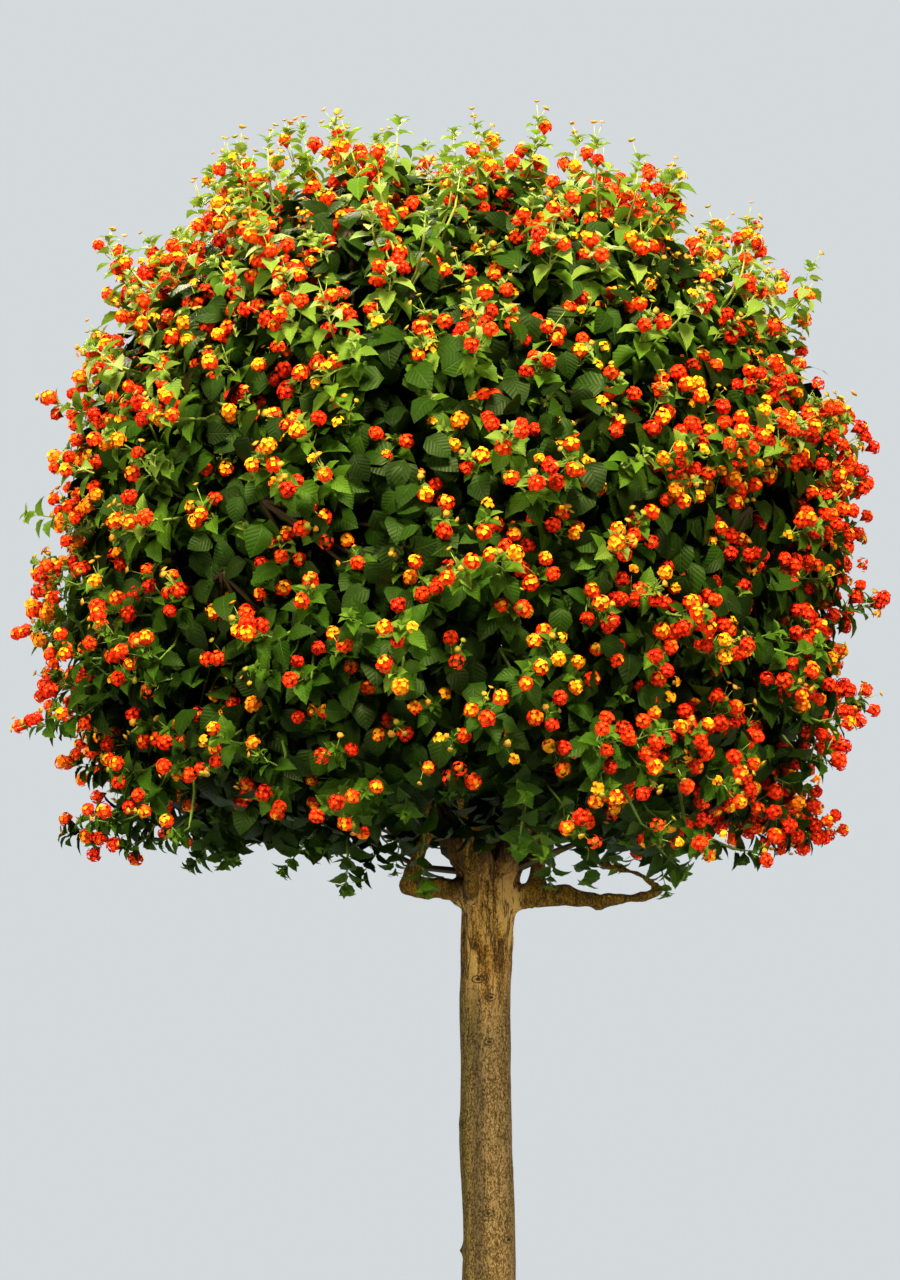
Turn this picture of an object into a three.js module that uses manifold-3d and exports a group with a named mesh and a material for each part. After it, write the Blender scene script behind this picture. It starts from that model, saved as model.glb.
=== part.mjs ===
// A lantana trained as a standard tree: a round crown of leafy boughs and flower sprays
// on one bare trunk, in a plain round clay pot of soil.
//
// Millimetres, +Z up. The origin is the middle of the pot's base, and -Y is the front.
// Leaves and flower heads are fewer here than on the plant and about twice life size,
// so that they still cover the crown.
import * as THREE from "three";
import { mergeVertices } from "three/addons/utils/BufferGeometryUtils.js";
import Module from "manifold-3d";

// Driving dimensions
const seatGap = 0.3;
const pot = {
  height: 520,
  baseRadius: 215,
  shoulderRadius: 272,
  rimRadius: 292,
  rimBand: 78,
  wall: 22,
  floor: 26,
  sides: 24,
  drainHoles: 4,
  drainRadius: 14,
  drainCircle: 95,
  chamfer: 6,
  rimChamfer: 8,
};
const soil = {
  belowRim: 42,
  mound: 8,
  moundRadius: 120,
  holeDepth: 250,
  // How far the soil drops where it meets the wall, and how wide that slope is
  edgeDrop: 6,
  edgeWidth: 10,
};
const trunk = {
  sides: 11,
  fluting: 0.05,
  footRadius: 53,
  footTop: 500,
  // Height, radius and how far it sways to the side, above its foot
  rings: [
    [560, 47, 0],
    [720, 45, -1],
    [850, 46, -4],
    [985, 44, -2],
    [1100, 45, -4],
    [1205, 46, -2],
    [1262, 50, 3],
    [1302, 38, 8],
  ],
};
const crown = {
  centre: new THREE.Vector3(-60, 0, 1950),
  halfWidth: 750,
  // Half height and squareness of the part above its middle, then of the part below
  above: [650, 2.5],
  below: [665, 4.6],
  lumps: 0.022,
};
const boughs = { sitesOnSphere: 26, lowestSite: -0.83, stemRadius: 9 };
// The levels of a bough's dense part: share of the crown's radius, and how far each is drawn
// in from the bough's outline to its middle
const pad = {
  foot: 0.832,
  collar: 0.866,
  levels: [
    [0.863, 0.18],
    [0.876, 0.045],
    [0.893, 0.24],
    [0.903, 0.5],
  ],
  top: 0.908,
  // Leaves grow only above these
  bareRings: 3,
};
const blade = { length: 134, width: 0.31, thickness: 2.6, fold: 0.3, arch: 0.2, root: 5 };
const leaves = {
  most: 348,
  tries: 9,
  // The range of sizes, and of the angle in radians between a leaf and the crown's surface
  sizes: [0.84, 1.1],
  tilt: [0.4, 0.85],
  // How far a leaf turns to either side of straight down, and at the very top of the crown
  swing: 1.1,
  topSwing: Math.PI,
};
const shoots = {
  most: 8,
  lowest: 0.3,
  height: 78,
  stemRadius: 3,
  tipHeight: 4,
  leafScale: 0.5,
  leafRise: [0.4, 0.9],
};
const spray = {
  sitesOnSphere: 40,
  lowestSite: -0.62,
  fork: 0.93,
  reach: 118,
  stalkRadius: 4.6,
  // Ranges: share of the reach, turn to the side, depth of the heads in the crown, their size
  spread: [0.7, 1.1],
  swing: [-0.25, 0.25],
  depth: [0.955, 0.995],
  sizes: [0.86, 1.1],
};
// A head is a rim of lobes with a smaller, higher ring inside it, on a neck
const umbel = {
  radius: 41,
  height: 27,
  lobes: 5,
  lobeDepth: 0.2,
  stalkRadius: 2.8,
  neckDrop: 0.3,
  ringRadius: 0.6,
  ringHeight: 0.78,
};
const seed = 20417;

const point = (x, y, z) => new THREE.Vector3(x, y, z);
const up = point(0, 0, 1);
const goldenAngle = Math.PI * (3 - Math.sqrt(5));

const wasm = await Module();
wasm.setup();

// Repeatable random numbers from 0 to 1
function randomFrom(start) {
  let state = start;
  return () => {
    state = (state + 0x6d2b79f5) | 0;
    let mixed = Math.imul(state ^ (state >>> 15), 1 | state);
    mixed = (mixed + Math.imul(mixed ^ (mixed >>> 7), 61 | mixed)) ^ mixed;
    return ((mixed ^ (mixed >>> 14)) >>> 0) / 4294967296;
  };
}
const random = randomFrom(seed);
const between = (low, high) => low + (high - low) * random();

// Solids and geometries
function solidOf(geometry) {
  const bare = geometry.clone();
  bare.deleteAttribute("normal");
  bare.deleteAttribute("uv");
  const merged = mergeVertices(bare, 1e-3);
  return new wasm.Manifold(
    new wasm.Mesh({
      numProp: 3,
      vertProperties: new Float32Array(merged.attributes.position.array),
      triVerts: new Uint32Array(merged.index.array),
    }),
  );
}

function geometryOf(solid) {
  const mesh = solid.getMesh();
  const places = new Float32Array(mesh.numVert * 3);
  for (let i = 0; i < mesh.numVert; i++) {
    const from = i * mesh.numProp;
    places.set(mesh.vertProperties.subarray(from, from + 3), i * 3);
  }
  const geometry = new THREE.BufferGeometry();
  geometry.setAttribute("position", new THREE.BufferAttribute(places, 3));
  geometry.setIndex(new THREE.BufferAttribute(new Uint32Array(mesh.triVerts), 1));
  geometry.computeVertexNormals();
  return geometry;
}

function geometryFrom(points, faces) {
  const geometry = new THREE.BufferGeometry();
  const places = points.flatMap((p) => [p.x, p.y, p.z]);
  geometry.setAttribute("position", new THREE.Float32BufferAttribute(places, 3));
  geometry.setIndex(faces.flat());
  return geometry;
}

const joined = (solids) => solids.reduce((whole, next) => whole.add(next));

// The largest body of a solid: what a cut or a join leaves loose is dropped
function largestBody(solid) {
  const bodies = solid.decompose();
  return bodies.reduce((a, b) => (a.volume() >= b.volume() ? a : b));
}

function node(name, solid, material) {
  const mesh = new THREE.Mesh(geometryOf(largestBody(solid)), material);
  mesh.name = name;
  return mesh;
}

// Rings of points, each as long as the next, skinned and closed by a flat cap at each end
function skinned(rings) {
  const sides = rings[0].length;
  const faces = [];
  for (let i = 0; i < rings.length - 1; i++) {
    for (let k = 0; k < sides; k++) {
      const [a, b] = [i * sides + k, i * sides + ((k + 1) % sides)];
      faces.push([a, b, b + sides], [a, b + sides, a + sides]);
    }
  }
  const last = (rings.length - 1) * sides;
  for (let k = 1; k < sides - 1; k++) {
    faces.push([0, k + 1, k], [last, last + k, last + k + 1]);
  }
  return solidOf(geometryFrom(rings.flat(), faces));
}

// A tube along a smooth route, tapered from its first radius to its last
function tapered(points, [first, last], sides) {
  const route = new THREE.CatmullRomCurve3(points, false, "centripetal");
  const steps = points.length - 1;
  let across = point(1, 0.2, 0.1);
  const rings = [];
  for (let i = 0; i <= steps; i++) {
    const centre = route.getPoint(i / steps);
    const along = route.getTangent(i / steps);
    across = across.clone().addScaledVector(along, -across.dot(along)).normalize();
    const third = new THREE.Vector3().crossVectors(along, across);
    const radius = THREE.MathUtils.lerp(first, last, i / steps);
    rings.push(circleOf(sides, (cosine, sine) =>
      centre
        .clone()
        .addScaledVector(across, radius * cosine)
        .addScaledVector(third, radius * sine),
    ));
  }
  return skinned(rings);
}

function circleOf(count, place) {
  return Array.from({ length: count }, (_, k) => {
    const angle = (2 * Math.PI * k) / count;
    return place(Math.cos(angle), Math.sin(angle), angle);
  });
}

function turned(profile, sides) {
  const points = profile.map(([r, z]) => new THREE.Vector2(r, z));
  return new THREE.LatheGeometry(points, sides).rotateX(Math.PI / 2);
}

// The crown's outer surface: a ball with a full top and a flat underside
function crownRadius(direction) {
  const [halfHeight, power] = direction.z > 0 ? crown.above : crown.below;
  const across = Math.hypot(direction.x, direction.y) / crown.halfWidth;
  const rise = Math.abs(direction.z) / halfHeight;
  const smooth = (across ** power + rise ** power) ** (-1 / power);
  const turn = Math.atan2(direction.y, direction.x);
  const wave = Math.sin(3 * turn + 4 * direction.z) + Math.sin(5 * turn - 3 * direction.z + 2);
  return smooth * (1 + (crown.lumps * wave) / 2);
}

function crownPoint(direction, share) {
  const reach = crownRadius(direction) * share;
  return crown.centre.clone().addScaledVector(direction, reach);
}

function spherePoints(count) {
  return Array.from({ length: count }, (_, k) => {
    const z = 1 - (2 * k + 1) / count;
    const across = Math.sqrt(1 - z * z);
    const turn = k * goldenAngle;
    return new THREE.Vector3(across * Math.cos(turn), across * Math.sin(turn), z);
  });
}

// Pot and soil
const innerWall = (z) => {
  const slope = (pot.shoulderRadius - pot.baseRadius) / (pot.height - pot.rimBand);
  return pot.baseRadius - pot.wall + slope * z;
};
const lipRadius = pot.rimRadius - pot.wall - pot.rimChamfer;

function potSolid() {
  const shoulder = pot.height - pot.rimBand;
  const clay = solidOf(
    turned(
      [
        [0, 0],
        [pot.baseRadius - pot.chamfer, 0],
        [pot.baseRadius, pot.chamfer],
        [pot.shoulderRadius, shoulder],
        [pot.rimRadius - pot.chamfer, shoulder + pot.chamfer],
        [pot.rimRadius, pot.height - pot.rimChamfer],
        [pot.rimRadius - pot.rimChamfer, pot.height],
        [lipRadius, pot.height],
        [innerWall(shoulder), shoulder],
        [innerWall(pot.floor), pot.floor],
        [0, pot.floor],
      ],
      pot.sides,
    ),
  );
  const holes = Array.from({ length: pot.drainHoles }, (_, k) => {
    const turn = (2 * Math.PI * (k + 0.5)) / pot.drainHoles;
    const hole = new THREE.CylinderGeometry(pot.drainRadius, pot.drainRadius, pot.floor * 2, 8);
    hole.rotateX(Math.PI / 2);
    hole.translate(pot.drainCircle * Math.cos(turn), pot.drainCircle * Math.sin(turn), 0);
    hole.translate(0, 0, pot.floor / 2);
    return solidOf(hole);
  });
  return clay.subtract(joined(holes));
}

const soilTop = pot.height - soil.belowRim;
const holeFloor = soilTop - soil.holeDepth;

function soilSolid() {
  const shoulder = pot.height - pot.rimBand;
  const lipSlope = (lipRadius - innerWall(shoulder)) / pot.rimBand;
  const shore = soilTop - soil.edgeDrop;
  const edge = innerWall(shoulder) + lipSlope * (shore - shoulder);
  const inscribed = Math.cos(Math.PI / pot.sides);
  const stemHole = (trunk.footRadius * (1 + trunk.fluting) + seatGap) / inscribed;
  const mound = soilTop + soil.mound;
  return solidOf(
    turned(
      [
        [0, pot.floor + seatGap],
        [innerWall(pot.floor) - seatGap * 2, pot.floor + seatGap],
        [innerWall(shoulder) - seatGap * 2, shoulder],
        [edge - seatGap * 2, shore],
        [edge - soil.edgeWidth, soilTop],
        [soil.moundRadius, mound],
        [stemHole, mound],
        [stemHole, holeFloor],
        [0, holeFloor],
      ],
      pot.sides,
    ),
  );
}

// Trunk, limbs, branches and twigs, which grew as one piece of wood
const fork = point(4, 0, 1274);

// Limbs seen under the crown, as route points and end radii
const shownLimbs = [
  { route: [point(4, -6, 1262), point(-82, -18, 1288), point(-148, -26, 1292)], ends: [25, 17] },
  { route: [point(-146, -30, 1286), point(-124, -38, 1330), point(-96, -30, 1400)], ends: [12, 9] },
  { route: [point(-24, -38, 1272), point(-31, -52, 1318), point(-34, -30, 1400)], ends: [15, 11] },
  { route: [point(24, -8, 1268), point(128, -18, 1276), point(200, -26, 1262)], ends: [25, 12] },
  { route: [point(190, -26, 1264), point(285, -32, 1276), point(306, -34, 1286)], ends: [11, 7] },
  { route: [point(304, -34, 1283), point(262, -40, 1312), point(192, -34, 1330)], ends: [7.5, 6] },
];
// Limbs that rise inside the crown: their direction, how far out they reach and their ends
const innerLimbs = {
  count: 6,
  out: 235,
  rise: 330,
  lowRise: 0.75,
  bendShare: 0.34,
  sunk: 20,
  firstTurn: 0.2,
  ends: [24, 14],
};
const leader = { height: 690, lean: 0.6, back: 10, bow: point(22, -14, 0), sunk: 30, ends: [26, 11] };
const limbSides = 6;
// A branch leaves its limb at this share of the leader, and runs straight for the last part
const branch = { ends: [10, 8], sides: 5, start: 0.4, straight: 0.35 };

function innerLimbRoutes() {
  const routes = Array.from({ length: innerLimbs.count }, (_, k) => {
    const turn = innerLimbs.firstTurn + (2 * Math.PI * k) / innerLimbs.count;
    const out = point(Math.cos(turn), Math.sin(turn), 0);
    const bend = fork.clone().addScaledVector(out, innerLimbs.out * innerLimbs.bendShare);
    const end = fork.clone().addScaledVector(out, innerLimbs.out);
    bend.z += innerLimbs.rise * innerLimbs.bendShare;
    end.z += innerLimbs.rise * (k % 2 ? 1 : innerLimbs.lowRise);
    return [fork.clone().setZ(fork.z - innerLimbs.sunk), bend, end];
  });
  const top = point(crown.centre.x * leader.lean, leader.back, fork.z + leader.height);
  const middle = fork.clone().lerp(top, 0.5).add(leader.bow);
  return { routes, leaderRoute: [fork.clone().setZ(fork.z - leader.sunk), middle, top] };
}

function trunkSolid() {
  const foot = [holeFloor + seatGap, trunk.footTop].map((z) => [z, trunk.footRadius, 0]);
  const rings = [...foot, ...trunk.rings].map(([z, radius, sway]) =>
    circleOf(trunk.sides, (cosine, sine, angle) => {
      const reach = radius * (1 + trunk.fluting * Math.cos(3 * angle + 0.6));
      return point(sway + reach * cosine, reach * sine, z);
    }),
  );
  return skinned(rings);
}

// A branch from the nearest limb to just short of a bough's stem, which it meets squarely
function branchTo({ foot, direction }, limbPoints) {
  const seat = foot.clone().addScaledVector(direction, -seatGap);
  const near = limbPoints.reduce((a, b) => (a.distanceTo(seat) < b.distanceTo(seat) ? a : b));
  const straight = seat.clone().addScaledVector(direction, -near.distanceTo(seat) * branch.straight);
  return tapered([near, straight, seat], branch.ends, branch.sides);
}

// Boughs: each holds the part of the crown's surface that is nearest to its own direction
const sites = spherePoints(boughs.sitesOnSphere);
const isBuilt = (k) => sites[k].z > boughs.lowestSite;

// Directions where three cells meet, each with the cells round it
function cellCorners() {
  const found = [];
  const n = sites.length;
  for (let i = 0; i < n; i++) {
    for (let j = i + 1; j < n; j++) {
      for (let k = j + 1; k < n; k++) {
        const toJ = sites[j].clone().sub(sites[i]);
        const toK = sites[k].clone().sub(sites[i]);
        const corner = new THREE.Vector3().crossVectors(toJ, toK).normalize();
        if (corner.dot(sites[i]) < 0) corner.negate();
        const near = corner.dot(sites[i]) + 1e-9;
        if (sites.every((s) => s.dot(corner) <= near)) found.push({ corner, cells: [i, j, k] });
      }
    }
  }
  return found;
}
const corners = cellCorners();

function cellOutline(cell) {
  const middle = sites[cell];
  const side = (Math.abs(middle.z) > 0.9 ? point(1, 0, 0) : up).clone();
  const east = side.addScaledVector(middle, -side.dot(middle)).normalize();
  const north = new THREE.Vector3().crossVectors(middle, east);
  const turnOf = (d) => Math.atan2(d.dot(north), d.dot(east));
  return corners
    .filter(({ cells }) => cells.includes(cell))
    .map(({ corner }) => corner)
    .sort((a, b) => turnOf(a) - turnOf(b));
}

const towards = (a, b, share) => a.clone().lerp(b, share).normalize();

// The dense inner part of a bough, on a short stem that ends just above its branch.
// Its outer facets are listed on their own, because leaves grow from them.
function boughCore(cell) {
  const middle = sites[cell];
  const outline = cellOutline(cell);
  const sides = outline.length;
  const stemRing = (share) => {
    const centre = crownPoint(middle, share);
    return outline.map((corner) => {
      const out = crownPoint(corner, share).sub(centre);
      out.addScaledVector(middle, -out.dot(middle));
      return centre.clone().addScaledVector(out.normalize(), boughs.stemRadius);
    });
  };
  const rings = [
    stemRing(pad.foot),
    stemRing(pad.collar),
    ...pad.levels.map(([share, drawnIn]) =>
      outline.map((corner) => crownPoint(towards(corner, middle, drawnIn), share)),
    ),
  ];
  const points = [...rings.flat(), crownPoint(middle, pad.top)];
  const faces = [];
  const facets = [];
  for (let i = 0; i < rings.length - 1; i++) {
    const list = i < pad.bareRings ? faces : facets;
    for (let k = 0; k < sides; k++) {
      const [a, b] = [i * sides + k, i * sides + ((k + 1) % sides)];
      list.push([a, b, b + sides], [a, b + sides, a + sides]);
    }
  }
  for (let k = 0; k < sides; k++) {
    const last = (rings.length - 1) * sides;
    facets.push([last + k, last + ((k + 1) % sides), points.length - 1]);
    if (k > 1) faces.push([0, k, k - 1]);
  }
  const solid = solidOf(geometryFrom(points, [...faces, ...facets]));
  const mesh = new THREE.Mesh(geometryFrom(points, [...faces, ...facets]));
  const foot = crownPoint(middle, pad.foot);
  return { points, faces, facets, solid, mesh, foot, direction: middle };
}

// Half of a blade's outline as shares of its length: along and out, with two teeth
const bladeEdge = [
  [0.27, 1],
  [0.42, 0.82],
  [0.6, 0.74],
];

// A leaf grown from a ring of three points. `axis` leads to its tip and `face` is the way
// that its upper side looks. The ring's odd point is under the leaf, or over it if `crested`.
function leaf(ring, axis, face, length, crested = false) {
  const root = middleOf(ring);
  const ahead = axis.clone().normalize();
  const above = face.clone().addScaledVector(ahead, -face.dot(ahead)).normalize();
  const aside = new THREE.Vector3().crossVectors(above, ahead);
  const place = (along, out, lift) =>
    root
      .clone()
      .addScaledVector(ahead, along * length)
      .addScaledVector(aside, out * length)
      .addScaledVector(above, lift - blade.arch * along * along * length);
  const edge = (side) =>
    bladeEdge.map(([along, share]) => {
      const out = share * blade.width;
      return place(along, side * out, out * blade.fold * length);
    });
  const rib = [place(0.4, 0, 0), place(0.4, 0, -blade.thickness)];
  const points = [...ring, ...edge(-1), place(1, 0, 0), ...edge(1).reverse(), ...rib];
  const [left, right] = crested ? [0, 1] : [2, 1];
  const count = bladeEdge.length * 2 + 1;
  const rim = [left, ...Array.from({ length: count }, (_, k) => k + 3), right];
  const [high, low] = [points.length - 2, points.length - 1];
  const faces = [];
  for (let k = 0; k < rim.length - 1; k++) {
    faces.push([rim[k], rim[k + 1], high], [rim[k + 1], rim[k], low]);
  }
  if (crested) faces.push([1, 2, high], [2, 0, high], [0, 1, low]);
  else faces.push([1, 2, high], [2, 0, low], [0, 1, low]);
  return { points, faces };
}

const middleOf = (ring) =>
  ring.reduce((sum, one) => sum.add(one), point(0, 0, 0)).divideScalar(ring.length);

// Adds one open skin to another
function graft(skin, piece) {
  const moved = skin.points.length;
  skin.points.push(...piece.points);
  skin.faces.push(...piece.faces.map((face) => face.map((k) => k + moved)));
}

// A domed head of florets on a lobed rim, grown from a three-sided stalk's first ring
function head(ring, centre, axis, size) {
  const east = ring[0].clone().sub(middleOf(ring));
  east.addScaledVector(axis, -east.dot(axis)).normalize();
  const north = new THREE.Vector3().crossVectors(axis, east);
  const level = (count, reach, height) =>
    circleOf(count, (cosine, sine, angle) => {
      const radius = size * (typeof reach === "number" ? reach : reach(angle));
      return centre
        .clone()
        .addScaledVector(east, radius * cosine)
        .addScaledVector(north, radius * sine)
        .addScaledVector(axis, size * height);
    });
  const rimCount = umbel.lobes * 2;
  const lobed = (angle) =>
    umbel.radius * (1 - umbel.lobeDepth * (Math.round((angle * rimCount) / (2 * Math.PI)) % 2));
  const points = [
    ...ring,
    ...level(3, umbel.stalkRadius, -umbel.height * umbel.neckDrop),
    ...level(rimCount, lobed, 0),
    ...level(umbel.lobes, umbel.radius * umbel.ringRadius, umbel.height * umbel.ringHeight),
    ...level(1, 0, umbel.height),
  ];
  const neck = (k) => 3 + (k % 3);
  const rim = (k) => 6 + (k % rimCount);
  const inner = (k) => 6 + rimCount + (k % umbel.lobes);
  const faces = [];
  for (let k = 0; k < 3; k++) {
    const next = (k + 1) % 3;
    faces.push([k, next, neck(next)], [k, neck(next), neck(k)]);
  }
  const nearest = (k) => neck(Math.round((k * 3) / rimCount));
  for (let k = 0; k < rimCount; k++) {
    faces.push([nearest(k), rim(k + 1), rim(k)]);
    if (nearest(k) !== nearest(k + 1)) faces.push([nearest(k), nearest(k + 1), rim(k + 1)]);
  }
  for (let k = 0; k < umbel.lobes; k++) {
    faces.push([rim(2 * k), rim(2 * k + 1), inner(k)]);
    faces.push([rim(2 * k + 1), inner(k + 1), inner(k)]);
    faces.push([rim(2 * k + 1), rim(2 * k + 2), inner(k + 1)]);
    faces.push([inner(k), inner(k + 1), points.length - 1]);
  }
  return { points, faces };
}

// A flower spray: a stalk that stands on a bough and forks to one head from each side
function spraySolid(direction, core, count) {
  const { point: seat, normal } = surfaceBelow(direction, core);
  const east = new THREE.Vector3().crossVectors(normal, point(0.3, -0.2, 1)).normalize();
  const north = new THREE.Vector3().crossVectors(normal, east);
  const forkAt = crownPoint(direction, spray.fork);
  const ring = (centre, radius) =>
    circleOf(count, (cosine, sine) =>
      centre
        .clone()
        .addScaledVector(east, radius * cosine)
        .addScaledVector(north, radius * sine),
    );
  const foot = ring(seat.clone().addScaledVector(normal, seatGap + 0.05), spray.stalkRadius);
  const knot = ring(forkAt, spray.stalkRadius);
  const crest = forkAt.clone().addScaledVector(normal, spray.stalkRadius);
  const skin = { points: [...foot, ...knot, crest], faces: [] };
  for (let k = 0; k < count; k++) {
    const next = (k + 1) % count;
    skin.faces.push([k, next, next + count], [k, next + count, k + count]);
    if (k > 1) skin.faces.push([0, k, k - 1]);
  }
  for (let k = 0; k < count; k++) {
    const sides = [knot[k], knot[(k + 1) % count], crest];
    const outward = knot[k].clone().add(sides[1]).multiplyScalar(0.5).sub(forkAt).normalize();
    const swing = between(...spray.swing);
    const sideways = new THREE.Vector3().crossVectors(normal, outward);
    const aim = forkAt
      .clone()
      .addScaledVector(outward, spray.reach * between(...spray.spread))
      .addScaledVector(sideways, spray.reach * swing);
    const end = crownPoint(aim.sub(crown.centre).normalize(), between(...spray.depth));
    const axis = end.clone().sub(crown.centre).normalize().multiplyScalar(2.2);
    axis.addScaledVector(up, 0.6).add(end.clone().sub(forkAt).normalize()).normalize();
    graft(skin, head(sides, end, axis, between(...spray.sizes)));
  }
  return solidOf(geometryFrom(skin.points, skin.faces));
}

// The place on a bough's dense part straight under a direction, and which way it faces
function surfaceBelow(direction, core) {
  const ray = new THREE.Raycaster(crownPoint(direction, 1.1), direction.clone().negate());
  const hit = ray.intersectObject(core.mesh, false)[0];
  return hit && { point: hit.point, normal: hit.face.normal };
}

// Pieces already placed, and whether a new one would cross any of them. It only touches the
// solid that it grows from.
const placed = [];
const touching = 0.05;
function settle(solid) {
  placed.push({ solid, box: solid.boundingBox() });
}
function crosses(solid, parent) {
  const box = solid.boundingBox();
  return placed.some((other) => {
    const apart = [0, 1, 2].some(
      (i) => box.min[i] > other.box.max[i] || box.max[i] < other.box.min[i],
    );
    const shared = apart ? 0 : solid.intersect(other.solid).volume();
    return shared > (other.solid === parent ? touching : 0);
  });
}

// A ring of three points inside a facet, with one side square to the way that `axis` leans
function rootRing(facet, axis, normal, size) {
  const lean = axis.clone().addScaledVector(normal, -axis.dot(normal)).normalize();
  const across = new THREE.Vector3().crossVectors(normal, lean);
  const shares = [between(0.25, 0.5), between(0.2, 0.4)];
  const centre = facet[0]
    .clone()
    .addScaledVector(facet[1].clone().sub(facet[0]), shares[0])
    .addScaledVector(facet[2].clone().sub(facet[0]), shares[1]);
  return [
    centre.clone().addScaledVector(lean, size),
    centre.clone().addScaledVector(across, size),
    centre.clone().addScaledVector(across, -size),
  ];
}

// The facet round a ring, as triangles between its corners (0 to 2) and the ring (3 to 5)
function facetAround(facet, ring, normal) {
  const east = facet[1].clone().sub(facet[0]).normalize();
  const north = new THREE.Vector3().crossVectors(normal, east);
  const flat = [...facet, ...ring].map((p) => new THREE.Vector2(p.dot(east), p.dot(north)));
  const hole = flat.slice(3).reverse();
  const faces = THREE.ShapeUtils.triangulateShape(flat.slice(0, 3), [hole]);
  const index = [0, 1, 2, 5, 4, 3];
  return faces.map((face) => {
    const [a, b, c] = face.map((k) => index[k]);
    const turn = flat[b].clone().sub(flat[a]).cross(flat[c].clone().sub(flat[a]));
    return turn > 0 ? [a, b, c] : [a, c, b];
  });
}

const closed = ({ points, faces }) => solidOf(geometryFrom(points, [...faces, [2, 1, 0]]));

// Tries to grow one leaf or shoot from a facet of a bough
function growFrom(core, facetIndex, make) {
  const facet = core.facets[facetIndex].map((k) => core.points[k]);
  const normal = new THREE.Vector3()
    .crossVectors(facet[1].clone().sub(facet[0]), facet[2].clone().sub(facet[0]))
    .normalize();
  const outward = middleOf(facet).sub(crown.centre).normalize();
  for (let attempt = 0; attempt < leaves.tries; attempt++) {
    const { ring, piece } = make(facet, normal, outward, attempt);
    const solid = closed(piece);
    if (crosses(solid, core.solid)) continue;
    settle(solid);
    core.grown.set(facetIndex, { piece, around: facetAround(facet, ring, normal) });
    return true;
  }
  return false;
}

function makeLeaf(facet, normal, outward, attempt) {
  const east = new THREE.Vector3().crossVectors(outward, up).normalize();
  const downhill = new THREE.Vector3().crossVectors(outward, east).normalize();
  const swing = outward.z > 0.8 ? leaves.topSwing : leaves.swing + attempt * 0.15;
  const turn = between(-swing, swing);
  const flat = downhill.multiplyScalar(Math.cos(turn)).addScaledVector(east, Math.sin(turn));
  const tilt = between(...leaves.tilt) + attempt * 0.04;
  const axis = flat.multiplyScalar(Math.cos(tilt)).addScaledVector(outward, Math.sin(tilt));
  const ring = rootRing(facet, axis, normal, blade.root);
  const size = blade.length * between(...leaves.sizes) * (1 - attempt * 0.03);
  const piece = leaf(ring, axis, outward.clone().addScaledVector(up, 0.3), size);
  return { ring, piece };
}

// A young shoot that stands clear of the crown, with three small leaves at its tip
function makeShoot(facet, normal, outward) {
  const rise = outward.clone().lerp(up, 0.4).normalize();
  const ring = rootRing(facet, point(1, random(), 0), normal, shoots.stemRadius);
  const tall = shoots.height * between(0.8, 1.2);
  const knot = ring.map((p) => p.clone().addScaledVector(rise, tall));
  const crest = middleOf(knot).addScaledVector(rise, shoots.tipHeight);
  const skin = { points: [...ring, ...knot, crest], faces: [] };
  for (let k = 0; k < 3; k++) {
    const next = (k + 1) % 3;
    skin.faces.push([k, next, next + 3], [k, next + 3, k + 3]);
    const sides = [knot[k], knot[next], crest];
    const out = middleOf(sides).sub(middleOf(knot)).addScaledVector(rise, -1);
    const axis = out.normalize().addScaledVector(rise, between(...shoots.leafRise));
    graft(skin, leaf(sides, axis, rise, blade.length * shoots.leafScale, true));
  }
  return { ring, piece: skin };
}

// A bough's whole skin: its dense part, with each leaf let into its own facet
function boughSolid(core) {
  const skin = { points: [...core.points], faces: [...core.faces] };
  core.facets.forEach((facet, k) => {
    const grown = core.grown.get(k);
    if (!grown) {
      skin.faces.push(facet);
      return;
    }
    const ringStart = skin.points.length;
    const index = [...facet, ringStart, ringStart + 1, ringStart + 2];
    graft(skin, grown.piece);
    skin.faces.push(...grown.around.map((face) => face.map((corner) => index[corner])));
  });
  return solidOf(geometryFrom(skin.points, skin.faces));
}

function shuffled(list) {
  return list
    .map((item) => [random(), item])
    .sort((a, b) => a[0] - b[0])
    .map(([, item]) => item);
}

// Materials
const finish = (colour, roughness) =>
  new THREE.MeshStandardMaterial({ color: colour, roughness, metalness: 0 });
const clay = finish(0xa65f3f, 0.85);
const earth = finish(0x3a2a1e, 0.95);
const bark = finish(0x80673f, 0.85);
const foliage = finish(0x4d7a24, 0.6);
const bloom = finish(0xee4a12, 0.55);

// The whole plant
const plant = new THREE.Group();
plant.add(node("pot", potSolid(), clay));
plant.add(node("soil", soilSolid(), earth));

const cores = sites.map((_, k) => (isBuilt(k) ? boughCore(k) : null));
const built = cores.filter(Boolean);
const nearestSite = (direction) =>
  sites.reduce((best, site, k) => (site.dot(direction) > sites[best].dot(direction) ? k : best), 0);

const sprays = spherePoints(spray.sitesOnSphere)
  .filter((direction) => direction.z > spray.lowestSite)
  .map((direction, k) => {
    const core = cores[nearestSite(direction)];
    return spraySolid(towards(direction, core.direction, 0.12), core, k % 3 ? 3 : 4);
  });

// Wood, whose branches end just short of each bough's stem
const { routes, leaderRoute } = innerLimbRoutes();
const limbPoints = routes.map((route) => route[2]);
limbPoints.push(leaderRoute[2], leaderRoute[1].clone().lerp(leaderRoute[2], branch.start));
const wood = joined([
  trunkSolid(),
  ...routes.map((route) => tapered(route, innerLimbs.ends, limbSides)),
  tapered(leaderRoute, leader.ends, limbSides),
  ...shownLimbs.map(({ route, ends }) => tapered(route, ends, limbSides)),
  ...built.map((core) => branchTo(core, limbPoints)),
]);
plant.add(node("trunk_and_limbs", wood, bark));

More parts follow.
